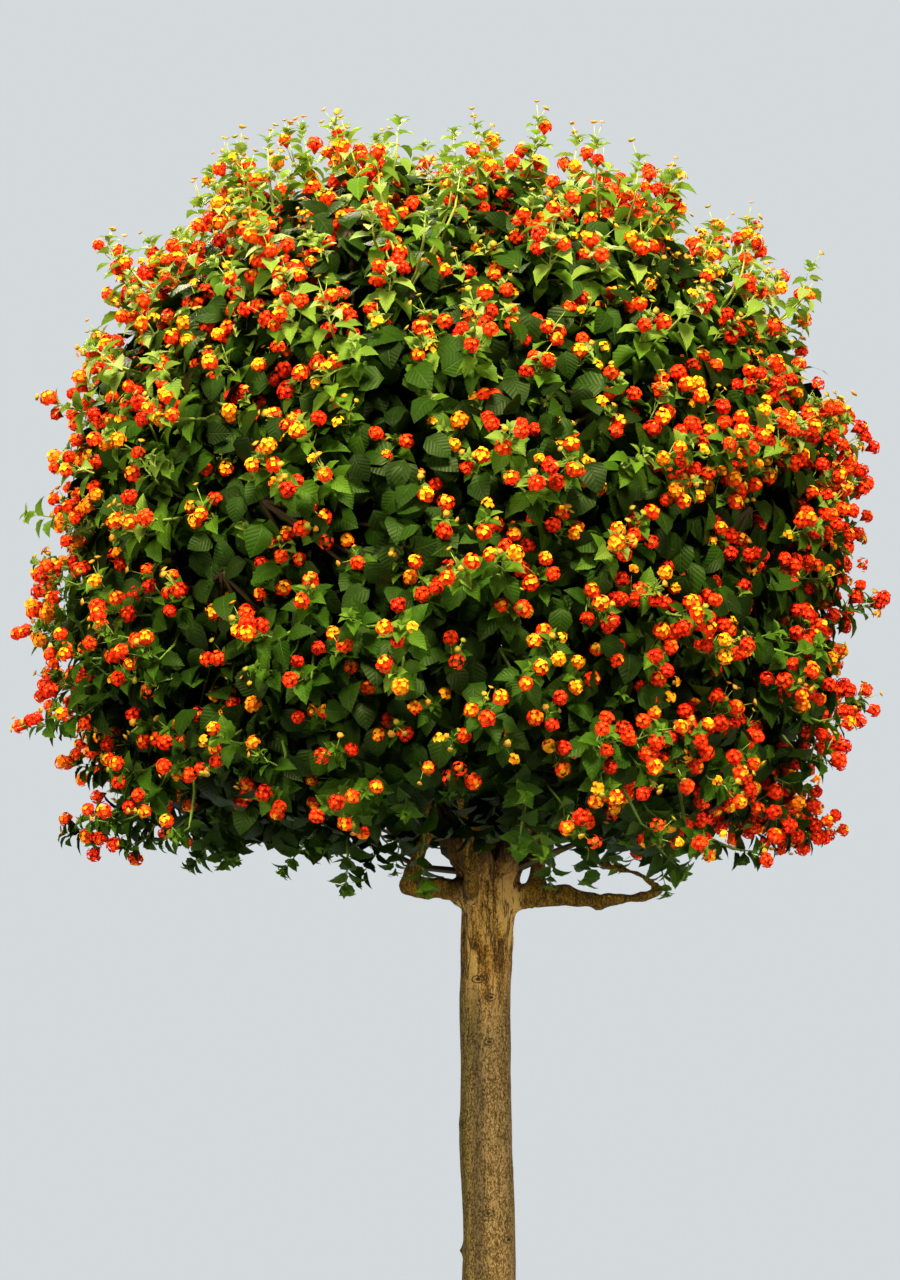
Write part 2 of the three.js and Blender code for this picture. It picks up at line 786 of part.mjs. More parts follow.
// Shoots and leaves, grown from facets all over the crown
[wood, ...sprays, ...built.map((core) => core.solid)].forEach(settle);
for (const core of built) core.grown = new Map();
const places = shuffled(built.flatMap((core) => core.facets.map((_, k) => [core, k])));
let shootsLeft = shoots.most;
let leavesLeft = leaves.most;
for (const [core, k] of places) {
  if (shootsLeft === 0) break;
  const crowded = core.grown.size > 0 || core.direction.z < shoots.lowest;
  if (!crowded && growFrom(core, k, makeShoot)) shootsLeft -= 1;
}
for (const [core, k] of places) {
  if (leavesLeft === 0) break;
  if (!core.grown.has(k) && growFrom(core, k, makeLeaf)) leavesLeft -= 1;
}

const numbered = (name, k) => `${name}_${String(k + 1).padStart(2, "0")}`;
built.forEach((core, k) => plant.add(node(numbered("leafy_bough", k), boughSolid(core), foliage)));
sprays.forEach((one, k) => plant.add(node(numbered("flower_spray", k), one, bloom)));

export default plant;
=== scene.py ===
import math
import bmesh
import bpy
import numpy as np
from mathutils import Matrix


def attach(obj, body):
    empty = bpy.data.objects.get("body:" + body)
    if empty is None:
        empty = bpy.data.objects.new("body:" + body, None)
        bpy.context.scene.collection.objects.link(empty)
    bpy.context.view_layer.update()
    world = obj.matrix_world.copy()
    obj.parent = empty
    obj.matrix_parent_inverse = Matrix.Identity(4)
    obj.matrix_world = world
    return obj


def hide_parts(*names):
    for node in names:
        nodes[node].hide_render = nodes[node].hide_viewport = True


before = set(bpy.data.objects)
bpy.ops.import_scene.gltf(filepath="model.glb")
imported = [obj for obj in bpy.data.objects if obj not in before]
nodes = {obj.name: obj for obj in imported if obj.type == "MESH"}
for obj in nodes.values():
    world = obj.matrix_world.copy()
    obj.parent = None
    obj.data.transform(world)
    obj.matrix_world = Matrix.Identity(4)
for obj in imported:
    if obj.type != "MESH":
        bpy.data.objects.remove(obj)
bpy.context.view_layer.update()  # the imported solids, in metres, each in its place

chance = np.random.default_rng(20417)
upward = np.array([0.0, 0.0, 1.0])
goldenTurn = math.pi * (3 - math.sqrt(5))
print("frame:", len(nodes), "solids")

# the camera looks slightly up at the crown from the front, and the pot is just below its view
camera = {"x": -0.065, "back": 6.0, "eye": 1.40, "aim": 1.72, "frameHeight": 2.24, "sensor": 24.0}


def makeCamera():
    rise = math.atan2(camera["aim"] - camera["eye"], camera["back"])
    bpy.ops.object.camera_add(
        location=(camera["x"], -camera["back"], camera["eye"]),
        rotation=(math.pi / 2 + rise, 0, 0),
    )
    lens = bpy.context.object.data
    lens.sensor_fit = "VERTICAL"
    lens.sensor_height = camera["sensor"]
    lens.lens = camera["sensor"] * camera["back"] / math.cos(rise) / camera["frameHeight"]
    lens.clip_end = 60
    bpy.context.scene.camera = bpy.context.object


makeCamera()
print("camera: ready")


# working by hand in edit mode

def putDown():
    if bpy.context.mode != "OBJECT":
        bpy.ops.object.mode_set(mode="OBJECT")
    bpy.ops.object.select_all(action="DESELECT")


def takeUp(piece):
    # leaves only this piece selected, and active
    putDown()
    piece.select_set(True)
    bpy.context.view_layer.objects.active = piece


def applyPlace():
    takeUp(bpy.context.object)
    bpy.ops.object.transform_apply(location=True)


def middleOf(part, kind):
    if kind == "FACE":
        return part.calc_center_median()
    return part.co if kind == "VERT" else (part.verts[0].co + part.verts[1].co) / 2


def choose(test, kind="VERT"):
    # selects only the vertices, edges or faces that pass the test, which gets each one and its middle
    mesh = bmesh.from_edit_mesh(bpy.context.edit_object.data)
    bpy.ops.mesh.select_mode(type=kind)
    bpy.ops.mesh.select_all(action="DESELECT")
    for part in {"VERT": mesh.verts, "EDGE": mesh.edges, "FACE": mesh.faces}[kind]:
        part.select_set(bool(test(part, middleOf(part, kind))))
    mesh.select_flush_mode()
    bmesh.update_edit_mesh(bpy.context.edit_object.data)


def chooseByNumber(numbers):
    choose(lambda v, co: v.index in numbers)


def addModifier(piece, kind, settings):
    modifier = piece.modifiers.new(kind.title(), kind)
    for name, value in settings.items():
        setattr(modifier, name, value)
    bpy.context.view_layer.objects.active = piece
    bpy.ops.object.modifier_apply(modifier=modifier.name)


def pointsOf(mesh):
    points = np.empty(len(mesh.vertices) * 3)
    mesh.vertices.foreach_get("co", points)
    return points.reshape(-1, 3)


def keepShape(map2d):
    # reads the modelled shape once, so that it can be copied many times, and clears it away
    putDown()
    piece = bpy.context.object
    mesh, points = piece.data, pointsOf(piece.data)
    corners = np.empty(len(mesh.loops), int)
    mesh.loops.foreach_get("vertex_index", corners)
    counts = np.empty(len(mesh.polygons), int)
    mesh.polygons.foreach_get("loop_total", counts)
    bpy.data.objects.remove(piece)
    return {"points": points, "corners": corners, "counts": counts, "map": map2d(points)[corners]}


# a leaf lies along +X from its foot at the origin to its point at 1, with its upper side to +Z
leafForm = {
    "full": {
        "at": (0, 0.13, 0.18, 0.37, 0.60, 0.82, 1),
        "half": (0, 0.03, 0.21, 0.310, 0.265, 0.12, 0),
        "across": 2,
        "teeth": {"from": 0.18, "to": 0.95, "narrow": 0.93, "pull": -0.012},
    },
    "small": {"at": (0, 0.13, 0.36, 0.70, 1), "half": (0, 0.17, 0.27, 0.155, 0), "across": 2},
    "back": {"at": (0, 0.20, 0.46, 0.78, 1), "half": (0, 0.24, 0.285, 0.16, 0), "across": 1},
}


def makeLeaf(form):
    last = len(form["at"]) - 1
    bpy.ops.mesh.primitive_grid_add(
        x_subdivisions=last, y_subdivisions=form["across"], size=1, location=(0.5, 0, 0))
    applyPlace()
    rows = [[] for _ in form["at"]]
    for v in bpy.context.object.data.vertices:
        rows[round(v.co.x * last)].append(v.index)
    bpy.ops.object.mode_set(mode="EDIT")
    for number, row in enumerate(rows):
        chooseByNumber(row)
        bpy.ops.transform.resize(value=(1, max(form["half"][number], 0.004) / 0.5, 1))
        bpy.ops.transform.translate(value=(form["at"][number] - number / last, 0, 0))
    choose(lambda v, co: co.x < 0.001)
    bpy.ops.mesh.merge(type="CENTER")
    choose(lambda v, co: co.x > 0.999)
    bpy.ops.mesh.merge(type="CENTER")
    if "teeth" in form:
        # the edge gets new points between the rows, which are drawn in and towards the foot
        teeth = form["teeth"]
        choose(lambda e, co: e.is_boundary and teeth["from"] < co.x < teeth["to"], "EDGE")
        bpy.ops.mesh.subdivide(number_cuts=1, ngon=True)
        choose(lambda v, co: abs(co.y) > 0.03 and min(abs(co.x - at) for at in form["at"]) > 0.02)
        bpy.ops.transform.resize(value=(1, teeth["narrow"], 1), center_override=(0.5, 0, 0))
        bpy.ops.transform.translate(value=(teeth["pull"], 0, 0))
    return keepShape(lambda p: np.stack([p[:, 0], 0.5 + p[:, 1] * 1.6], axis=1))


# a floret faces +Z: four lobes round a sunk throat, with gaps between them where it has eight corners
floretForm = {"gap": 0.72, "throat": -0.26, "lip": 0.09}


def makeFloret(corners):
    bpy.ops.mesh.primitive_circle_add(vertices=corners, radius=1, fill_type="TRIFAN")
    rim = [v.index for v in bpy.context.object.data.vertices if v.co.length > 0.5]
    putDown()
    bpy.ops.object.mode_set(mode="EDIT")
    if corners > 4:
        chooseByNumber(rim[::2])
        bpy.ops.transform.resize(value=(floretForm["gap"], floretForm["gap"], 1), center_override=(0, 0, 0))
        bpy.ops.transform.translate(value=(0, 0, floretForm["lip"]))
    choose(lambda v, co: co.length < 0.2)
    bpy.ops.transform.translate(value=(0, 0, floretForm["throat"]))
    return keepShape(lambda p: 0.5 + p[:, :2] * 0.48)


budForm = {"foot": 0.3, "corner": 1.16, "cornerDrop": -0.28, "crown": 0.24}


def makeBudHead():
    # a flat-topped cup of unopened buds on the end of its stalk, one unit across
    bpy.ops.mesh.primitive_cylinder_add(vertices=6, radius=1, depth=1.1, end_fill_type="TRIFAN")
    rim = [v.index for v in bpy.context.object.data.vertices if v.co.z > 0.5 and v.co.xy.length > 0.5]
    putDown()
    bpy.ops.object.mode_set(mode="EDIT")
    choose(lambda v, co: co.z < -0.5)
    bpy.ops.transform.resize(value=(budForm["foot"], budForm["foot"], 1))
    chooseByNumber(rim[::2])
    bpy.ops.transform.resize(value=(budForm["corner"], budForm["corner"], 1), center_override=(0, 0, 0))
    bpy.ops.transform.translate(value=(0, 0, budForm["cornerDrop"]))
    choose(lambda v, co: co.z > 0.5 and co.xy.length < 0.2)
    bpy.ops.transform.translate(value=(0, 0, budForm["crown"]))
    return keepShape(lambda p: 0.5 + p[:, :2] * 0.4 + np.where(p[:, 2:] < 0, 0.02, 0))


def makeHeadCore():
    # a low dome behind the florets, drawn down to the stalk
    bpy.ops.mesh.primitive_cone_add(
        vertices=6, radius1=1, radius2=0, depth=1, end_fill_type="TRIFAN", location=(0, 0, 0.5))
    applyPlace()
    bpy.ops.object.mode_set(mode="EDIT")
    choose(lambda v, co: co.z < 0.1 and co.length < 0.5)
    bpy.ops.transform.translate(value=(0, 0, -1.5))
    return keepShape(lambda p: 0.5 + p[:, :2] * 0.45)


def makeTube(sides, steps):
    # one unit long and in radius, closed to a point at its far end
    bpy.ops.mesh.primitive_circle_add(vertices=sides, radius=1, fill_type="NOTHING")
    bpy.ops.object.mode_set(mode="EDIT")
    bpy.ops.mesh.select_all(action="SELECT")
    for _ in range(steps):
        bpy.ops.mesh.extrude_region_move(TRANSFORM_OT_translate={"value": (0, 0, 1 / steps)})
    bpy.ops.mesh.merge(type="CENTER")
    bpy.ops.mesh.select_all(action="SELECT")
    bpy.ops.mesh.normals_make_consistent(inside=False)
    return keepShape(lambda p: 0.03 + 0.9 * np.stack([
        np.arctan2(p[:, 1], p[:, 0]) / (2 * math.pi) + 0.5, p[:, 2]], axis=1))


putDown()
shapes = {
    "leaf": makeLeaf(leafForm["full"]),
    "youngLeaf": makeLeaf(leafForm["small"]),
    "backLeaf": makeLeaf(leafForm["back"]),
    "floret": makeFloret(8),
    "sideFloret": makeFloret(4),
    "buds": makeBudHead(),
    "core": makeHeadCore(),
    "stem": makeTube(4, 3),
    "stalk": makeTube(3, 2),
}
print("shapes:", {name: int(np.sum(shape["counts"] - 2)) for name, shape in shapes.items()}, "triangles")


# laying many copies of one shape

def unit(ways):
    return ways / np.maximum(np.linalg.norm(ways, axis=-1, keepdims=True), 1e-9)


def crossWays(axis):
    # two ways across an axis, the first drawn by chance
    aside = unit(np.cross(axis, chance.normal(size=3)))
    return aside, np.cross(axis, aside)


def turned(aside, other, turn):
    return math.cos(turn) * aside + math.sin(turn) * other


def layLeaves(shape, leaves):
    # leaves: one row each, foot 3, way 3, upper side 3, length, width, fold, curl, then tone and luck
    rows = np.array(leaves)
    foot, way, face = rows[:, None, 0:3], unit(rows[:, None, 3:6]), rows[:, None, 6:9]
    length, width, fold, curl = (rows[:, None, k] for k in (9, 10, 11, 12))
    face = unit(face - np.sum(face * way, axis=-1, keepdims=True) * way)
    side = np.cross(face, way)
    x, y, z = shape["points"].T
    across = y[None] * length * width
    lift = z[None] * length + np.abs(across) * fold
    turn = curl * x[None]
    bow = length / np.where(np.abs(curl) < 0.02, 0.02, curl)
    out = bow * np.sin(turn) + lift * np.sin(turn)
    down = -bow * (1 - np.cos(turn)) + lift * np.cos(turn)
    places = foot + out[..., None] * way + across[..., None] * side + down[..., None] * face
    return places, rows[:, 13], rows[:, 14]


def layTubes(shape, tubes):
    # tubes: one row each, start 3, bend 3, end 3, radius at the start and end, then tone and luck
    rows = np.array(tubes)
    a, b, c = rows[:, None, 0:3], rows[:, None, 3:6], rows[:, None, 6:9]
    x, y, t = (shape["points"][None, :, k, None] for k in (0, 1, 2))
    middle = (1 - t) ** 2 * a + 2 * t * (1 - t) * b + t ** 2 * c
    way = unit((1 - t) * (b - a) + t * (c - b))
    aside = unit(np.cross(c - a, np.where(np.abs(unit(c - a)[..., 2:]) < 0.9, upward, [1.0, 0, 0])))
    other = np.cross(way, aside)
    radius = rows[:, None, 9:10] * (1 - t) + rows[:, None, 10:11] * t
    return middle + radius * (x * unit(np.cross(other, way)) + y * unit(other)), rows[:, 11], rows[:, 12]


class Bunch:
    # gathers copies of shapes and turns them into one mesh piece
    def __init__(self):
        self.points, self.corners, self.counts, self.maps = [], [], [], []
        self.tones, self.lucks, self.looks, self.cells = [], [], [], []
        self.size = self.copies = 0

    def put(self, shape, points, tone, luck, look):
        many, each = points.shape[:2]
        if not many:
            return
        steps = self.size + each * np.arange(many)
        self.points.append(points.reshape(-1, 3))
        self.corners.append((shape["corners"][None] + steps[:, None]).ravel())
        self.counts.append(np.tile(shape["counts"], many))
        self.maps.append(np.tile(shape["map"], (many, 1)))
        self.cells.append(np.repeat(self.copies + np.arange(many), len(shape["corners"])))
        self.tones.append(np.broadcast_to(np.reshape(tone, (many, -1)), (many, each)).ravel())
        self.lucks.append(np.broadcast_to(np.reshape(luck, (many, -1)), (many, each)).ravel())
        self.looks.append(np.full(many * len(shape["counts"]), look))
        self.size += many * each
        self.copies += many

    def build(self, name, finishes):
        points, corners = np.concatenate(self.points), np.concatenate(self.corners)
        counts, maps = np.concatenate(self.counts), np.concatenate(self.maps)
        mesh = bpy.data.meshes.new(name)
        mesh.vertices.add(len(points))
        mesh.loops.add(len(corners))
        mesh.polygons.add(len(counts))
        mesh.vertices.foreach_set("co", points.ravel())
        mesh.loops.foreach_set("vertex_index", corners)
        mesh.polygons.foreach_set("loop_start", np.concatenate([[0], np.cumsum(counts)[:-1]]))
        mesh.polygons.foreach_set("material_index", np.concatenate(self.looks))
        mesh.update(calc_edges=True)
        mesh.shade_smooth()
        mesh.attributes.new("tone", "FLOAT", "POINT").data.foreach_set("value", np.concatenate(self.tones))
        mesh.attributes.new("luck", "FLOAT", "POINT").data.foreach_set("value", np.concatenate(self.lucks))
        mesh.uv_layers.new(name="ownMap").data.foreach_set("uv", maps.ravel())
        # every copy has a square of its own in the second map
        side = math.ceil(math.sqrt(self.copies))
        cells = np.concatenate(self.cells)
        squares = np.stack([cells % side, cells // side], axis=1)
        spread = (squares + 0.05 + 0.9 * np.clip(maps, 0, 1)) / side
        mesh.uv_layers.new(name="OFBake").data.foreach_set("uv", spread.ravel())
        piece = bpy.data.objects.new(name, mesh)
        bpy.context.scene.collection.objects.link(piece)
        for finish in finishes:
            mesh.materials.append(finish)
        return piece


# finishes: a Wire is one socket, and sums on wires add their Math nodes

class Wire:
    def __init__(self, finish, socket):
        self.finish, self.socket = finish, socket

    def __add__(self, other):
        return self.finish.sum("ADD", self, other)

    def __radd__(self, other):
        return self.finish.sum("ADD", other, self)

    def __sub__(self, other):
        return self.finish.sum("SUBTRACT", self, other)

    def __rsub__(self, other):
        return self.finish.sum("SUBTRACT", other, self)

    def __mul__(self, other):
        return self.finish.sum("MULTIPLY", self, other)

    def __rmul__(self, other):
        return self.finish.sum("MULTIPLY", other, self)

    def __abs__(self):
        return self.finish.sum("ABSOLUTE", self, 0)


class Finish:
    def __init__(self, name):
        self.material = bpy.data.materials.new(name)
        self.material.use_nodes = True
        self.tree = self.material.node_tree
        self.tree.nodes.clear()

    def add(self, kind, settings=None, inputs=None, output=0):
        node = self.tree.nodes.new("ShaderNode" + kind)
        for name, value in (settings or {}).items():
            if name == "stops":
                while len(node.color_ramp.elements) < len(value):
                    node.color_ramp.elements.new(1)
                for stop, (at, colour) in zip(node.color_ramp.elements, value):
                    stop.position = at
                    stop.color = (*colour, 1)
            else:
                setattr(node, name, value)
        for name, value in (inputs or {}).items():
            if isinstance(value, Wire):
                self.tree.links.new(value.socket, node.inputs[name])
            else:
                node.inputs[name].default_value = value
        return Wire(self, node.outputs[output])

    def sum(self, operation, first, second):
        return self.add("Math", {"operation": operation}, {0: first, 1: second})

    def split(self, vector):
        first = self.add("SeparateXYZ", {}, {0: vector})
        return [Wire(self, socket) for socket in first.socket.node.outputs]

    def clamped(self, wire):
        return self.add("Clamp", {}, {0: wire})

    def step(self, wire, low, high):
        return self.add("MapRange", {"interpolation_type": "SMOOTHSTEP"}, {0: wire, 1: low, 2: high})

    def ramp(self, wire, stops):
        return self.add("ValToRGB", {"stops": stops}, {0: wire})

    def mix(self, share, first, second, how="MIX"):
        settings = {"data_type": "RGBA", "blend_type": how}
        colours = [c if isinstance(c, Wire) else (*c, 1) for c in (first, second)]
        return self.add("Mix", settings, {0: share, 6: colours[0], 7: colours[1]}, output=2)

    def tinted(self, share, colour, times):
        return self.mix(share, colour, self.mix(1.0, colour, times, "MULTIPLY"))

    def value(self, name):
        return self.add("Attribute", {"attribute_name": name}, output=2)

    def place(self, scale=(1, 1, 1)):
        return self.add("Mapping", {}, {"Vector": self.add("TexCoord", output=3), "Scale": scale})

    def noise(self, scale, detail=2.0, rough=0.5, stretch=(1, 1, 1)):
        return self.add("TexNoise", {}, {
            "Vector": self.place(stretch), "Scale": scale, "Detail": detail, "Roughness": rough})

    def bump(self, height, strength, distance):
        return self.add("Bump", {}, {"Height": height, "Strength": strength, "Distance": distance})

    def surface(self, colour, rough, height, gloss=0.5, tint=(1, 1, 1)):
        return self.add("BsdfPrincipled", {}, {
            "Base Color": colour, "Roughness": rough, "Normal": height,
            "Specular IOR Level": gloss, "Specular Tint": (*tint, 1)})

    def show(self, shader):
        end = self.tree.nodes.new("ShaderNodeOutputMaterial")
        self.tree.links.new(shader.socket, end.inputs["Surface"])
        return self.material


leafLook = {
    # from an old leaf in painted shade to the youngest at a tip, in painted sunlight
    "ramp": (
        (0.00, (0.004, 0.011, 0.001)), (0.30, (0.019, 0.055, 0.002)), (0.55, (0.061, 0.128, 0.007)),
        (0.78, (0.165, 0.240, 0.032)), (1.00, (0.270, 0.315, 0.100)),
    ),
    "vein": (1.75, 1.60, 1.50), "veins": 7.5, "slant": 0.70, "rough": 0.48,
    "gloss": 0.14, "sheen": (0.70, 0.86, 0.36), "seeThrough": 0.30, "glow": (0.260, 0.505, 0.035),
}


def leafFinish():
    m = Finish("leafGreen")
    tone, luck = m.value("tone"), m.value("luck")
    lengthways, across, _ = m.split(m.add("UVMap", {"uv_map": "ownMap"}))
    sideways = abs(across - 0.5)
    # side veins run from the midrib to the edge, leaning to the point
    comb = m.sum("PINGPONG", (lengthways - sideways * leafLook["slant"]) * leafLook["veins"], 0.5)
    sideVein = 1 - m.step(comb, 0.02, 0.14)
    midrib = 1 - m.step(sideways, 0.008, 0.035)
    vein = m.clamped(sideVein * 0.55 + midrib)
    mottle, patch = m.noise(95, 3, 0.6), m.noise(9, 2, 0.5)
    ageAndPaintedLight = m.clamped(tone + (luck - 0.5) * 0.16 + (mottle - 0.5) * 0.14 + (patch - 0.5) * 0.16)
    green = m.tinted(vein * 0.60, m.ramp(ageAndPaintedLight, leafLook["ramp"]), leafLook["vein"])
    rough = leafLook["rough"] + (mottle - 0.5) * 0.2 + sideVein * 0.08
    height = m.bump(vein * -0.6 + comb * 0.7 + mottle * 0.6, 0.66, 0.0012)
    skin = m.surface(green, rough, height, leafLook["gloss"], leafLook["sheen"])
    # the lighter a leaf's tone, from its age and from painted light, the more light it lets through
    through = m.add("BsdfTranslucent", {}, {"Color": (*leafLook["glow"], 1), "Normal": height})
    share = m.sum("POWER", ageAndPaintedLight, 1.35) * leafLook["seeThrough"]
    return m.show(m.add("MixShader", {}, {0: share, 1: skin, 2: through}))


stemLook = (
    (0.00, (0.022, 0.012, 0.004)), (0.35, (0.060, 0.042, 0.010)), (0.60, (0.100, 0.180, 0.020)),
    (1.00, (0.400, 0.460, 0.080)),
)


def stemFinish():
    m = Finish("stemGreen")
    ribs = m.noise(220, 2, 0.6, (1, 1, 0.25))
    colour = m.ramp(m.clamped(m.value("tone") + (ribs - 0.5) * 0.25), stemLook)
    return m.show(m.surface(colour, 0.6 + ribs * 0.15, m.bump(ribs, 0.4, 0.0008), 0.2))


bloomLook = {
    # from green buds through yellow and orange to old scarlet
    "ramp": (
        (0.00, (0.170, 0.240, 0.015)), (0.12, (0.480, 0.200, 0.022)), (0.28, (0.790, 0.360, 0.006)),
        (0.45, (0.900, 0.190, 0.003)), (0.64, (0.820, 0.036, 0.001)), (0.84, (0.660, 0.012, 0.001)),
        (1.00, (0.280, 0.005, 0.001)),
    ),
    "throat": (0.95, 0.32, 0.01), "rim": (1.0, 1.25, 1.2), "gloss": 0.10,
}


def bloomFinish():
    m = Finish("bloomOrangeRed")
    tone, luck = m.value("tone"), m.value("luck")
    centred = m.add("VectorMath", {"operation": "SUBTRACT"}, {
        0: m.add("UVMap", {"uv_map": "ownMap"}), 1: (0.5, 0.5, 0)})
    far = m.add("VectorMath", {"operation": "LENGTH"}, {0: centred}, output=1)
    crinkle = m.noise(420, 2, 0.6)
    colour = m.ramp(m.clamped(tone + (luck - 0.5) * 0.07 + (crinkle - 0.5) * 0.06), bloomLook["ramp"])
    throat = (1 - m.step(far, 0.03, 0.13)) * m.step(tone, 0.2, 0.3)
    colour = m.mix(throat * 0.6, colour, bloomLook["throat"])
    colour = m.tinted(m.step(far, 0.24, 0.5) * 0.25, colour, bloomLook["rim"])
    return m.show(m.surface(colour, 0.62 + crinkle * 0.12, m.bump(crinkle, 0.35, 0.0006), bloomLook["gloss"]))


leafGreen, stemGreen, bloomOrangeRed = leafFinish(), stemFinish(), bloomFinish()
print("finishes: leaf, stem and bloom")


# the crown: round above, fuller and flatter below, with slow swellings
crown = {
    "centre": np.array([-0.060, 0.0, 1.950]), "halfWidth": 0.750,
    "above": (0.650, 2.25), "below": (0.665, 4.1), "lumps": 0.022, "rightSlope": 0.035,
}


def smooth(value, low, high):
    t = np.clip((value - low) / (high - low), 0, 1)
    return t * t * (3 - 2 * t)


def crownRadius(ways):
    x, y, z = ways.T
    tall = np.where(z > 0, crown["above"][0], crown["below"][0])
    square = np.where(z > 0, crown["above"][1], crown["below"][1])
    plain = ((np.hypot(x, y) / crown["halfWidth"]) ** square + (np.abs(z) / tall) ** square) ** (-1 / square)
    turn = np.arctan2(y, x)
    wave = np.sin(3 * turn + 4 * z) + np.sin(5 * turn - 3 * z + 2)
    slope = crown["rightSlope"] * smooth(x, 0.25, 0.75) * smooth(z, 0.05, 0.45)
    return plain * (1 + crown["lumps"] * wave / 2 - slope)


def crownNormal(ways):
    def level(points):
        far = np.linalg.norm(points, axis=1)
        return far / crownRadius(points / far[:, None])
    points = ways * crownRadius(ways)[:, None]
    slopes = [level(points + axis) - level(points - axis) for axis in 0.002 * np.eye(3)]
    return unit(np.stack(slopes, axis=1))


def evenSites(spacing, lowest, tries):
    # directions whose places on the crown are never nearer to each other than the spacing
    ways = unit(chance.normal(size=(tries, 3)))
    ways = ways[ways[:, 2] > lowest]
    places = ways * crownRadius(ways)[:, None]
    kept = [0]
    for number, place in enumerate(places):
        if np.min(np.sum((places[kept] - place) ** 2, axis=1)) > spacing ** 2:
            kept.append(number)
    return ways[kept]


def nodeWays(start):
    # the names of such solids, the way to each one's middle, and its point nearest to the crown's middle
    names = sorted(name for name in nodes if name.startswith(start))
    middles, roots = [], []
    for name in names:
        points = pointsOf(nodes[name].data) - crown["centre"]
        middles.append(points.mean(axis=0))
        roots.append(points[np.argmin(np.linalg.norm(points, axis=1))] + crown["centre"])
    return names, unit(np.array(middles)), np.array(roots)


boughNames, boughWays, boughRoots = nodeWays("leafy_bough")
sprayNames, sprayWays, _ = nodeWays("flower_spray")
leafBunches = [Bunch() for _ in boughNames]
bloomBunches = [Bunch() for _ in sprayNames]

shoots = {
    "spacing": 0.0685, "lowest": -0.86, "tries": 20000,
    "clumpSpacing": 0.185, "clumpTries": 4000, "hubDepth": 0.175, "hollow": 0.112, "proud": -0.004,
    # each pair of leaves: distance below the tip, length, angle to the stem, droop
    "pairs": (
        (0.003, 0.022, 30, 0.00), (0.013, 0.034, 44, 0.12), (0.029, 0.043, 58, 0.30),
        (0.050, 0.049, 68, 0.48), (0.075, 0.052, 78, 0.60), (0.104, 0.052, 86, 0.70),
    ),
    "rosette": 4, "stem": (0.0034, 0.0016), "curtain": 0.026, "tipReach": 0.085,
    "twig": (0.0046, 0.0034), "twigBow": 0.03, "twigTone": 0.12,
    # leaf tone: the least, then what is added high up (young growth and painted sunlight), at the sides
    # (painted light), by chance, and by how far a shoot stands out of its hollow (painted shade in hollows)
    "tone": {"least": 0.09, "high": 0.50, "edge": 0.17, "chance": 0.08, "swell": 0.20},
}
heads = {
    "flowering": 0.92, "lowest": -0.78, "least": 3, "most": 8, "radius": 0.0116, "floret": 0.0052,
    "nearest": 0.0215, "stalk": (0.0013, 0.0009), "stalkTone": 0.75, "reach": (0.030, 0.054),
    # how far round a head its florets reach and have lobes, in radians, and how many there are
    "around": 1.95, "youngAround": 1.15, "lobed": 1.05,
    "florets": (16, 21), "few": {"spent": (8, 13), "young": (5, 9)},
    "red": {"least": 0.07, "side": 0.16, "low": 0.24, "age": 0.42}, "spent": 0.05, "pale": 0.90,
}
buds = {
    "radius": (0.0042, 0.0066), "flat": 0.50, "tone": (0.02, 0.17),
    "stalk": (0.0011, 0.0008), "stalkTone": 0.85,
}
# how near to the fork flowers and twigs stop, so that the view under the crown stays open
forkLimit = {"flowers": 0.57, "twigs": 0.24}
# how many flowers a shoot has, and what each part of the crown adds
flowering = {
    "anywhere": 0.70,
    "right": 1.28, "highLeft": 0.32, "left": 0.12, "highRight": -0.36, "low": -0.32, "top": 0.56,
}


def onPath(path, t):
    a, b, c = path
    return (1 - t) ** 2 * a + 2 * t * (1 - t) * b + t ** 2 * c


def nearFork(place):
    # 1 in front of the fork, and 0 away from it and high above it
    near = math.exp(-((place[0] + 0.03) / 0.19) ** 2) * smooth(-place[1], -0.25, 0.20)
    return near * (1 - smooth(place[2], 1.36, 1.62))


def fullness(place):
    # flowers crowd low on the right and high on the left, and thin out under them on the left
    x, z = place[0], place[2]
    right = smooth(x, -0.05, 0.42) * (1 - smooth(z, 1.98, 2.30)) * (0.62 + 0.38 * smooth(z, 1.60, 1.90))
    shares = {
        "right": right,
        "highLeft": smooth(-x, 0.05, 0.45) * smooth(z, 1.95, 2.25),
        "left": smooth(-x, 0.30, 0.60),
        "highRight": smooth(x, 0.0, 0.4) * smooth(z, 2.02, 2.32),
        "low": (1 - smooth(z, 1.50, 1.80)) * (1 - right),
        "top": smooth(z, 2.28, 2.48),
    }
    amount = flowering["anywhere"]
    for part, share in shares.items():
        amount += flowering[part] * share
    return amount


clumpWays = evenSites(shoots["clumpSpacing"], shoots["lowest"], shoots["clumpTries"])
clumpPlaces = clumpWays * crownRadius(clumpWays)[:, None]
clumpHubs = crown["centre"] + clumpWays * (crownRadius(clumpWays) - shoots["hubDepth"])[:, None]
clumpBoughs = np.argmax(clumpWays @ boughWays.T, axis=1)
shootWays = evenSites(shoots["spacing"], shoots["lowest"], shoots["tries"])
shootPlaces = shootWays * crownRadius(shootWays)[:, None]
shootNormals = crownNormal(shootWays)
gaps = np.linalg.norm(shootPlaces[:, None] - clumpPlaces[None], axis=2)
shootClumps, clumpGaps = np.argmin(gaps, axis=1), np.min(gaps, axis=1)
print("shoots:", len(shootWays), "in", len(clumpWays), "clumps")

leafRows = {
    (bough, kind): [] for bough in range(len(boughNames)) for kind in ("leaf", "youngLeaf", "backLeaf")
}
stemRows = [[] for _ in boughNames]
headSites, budSites = [], []


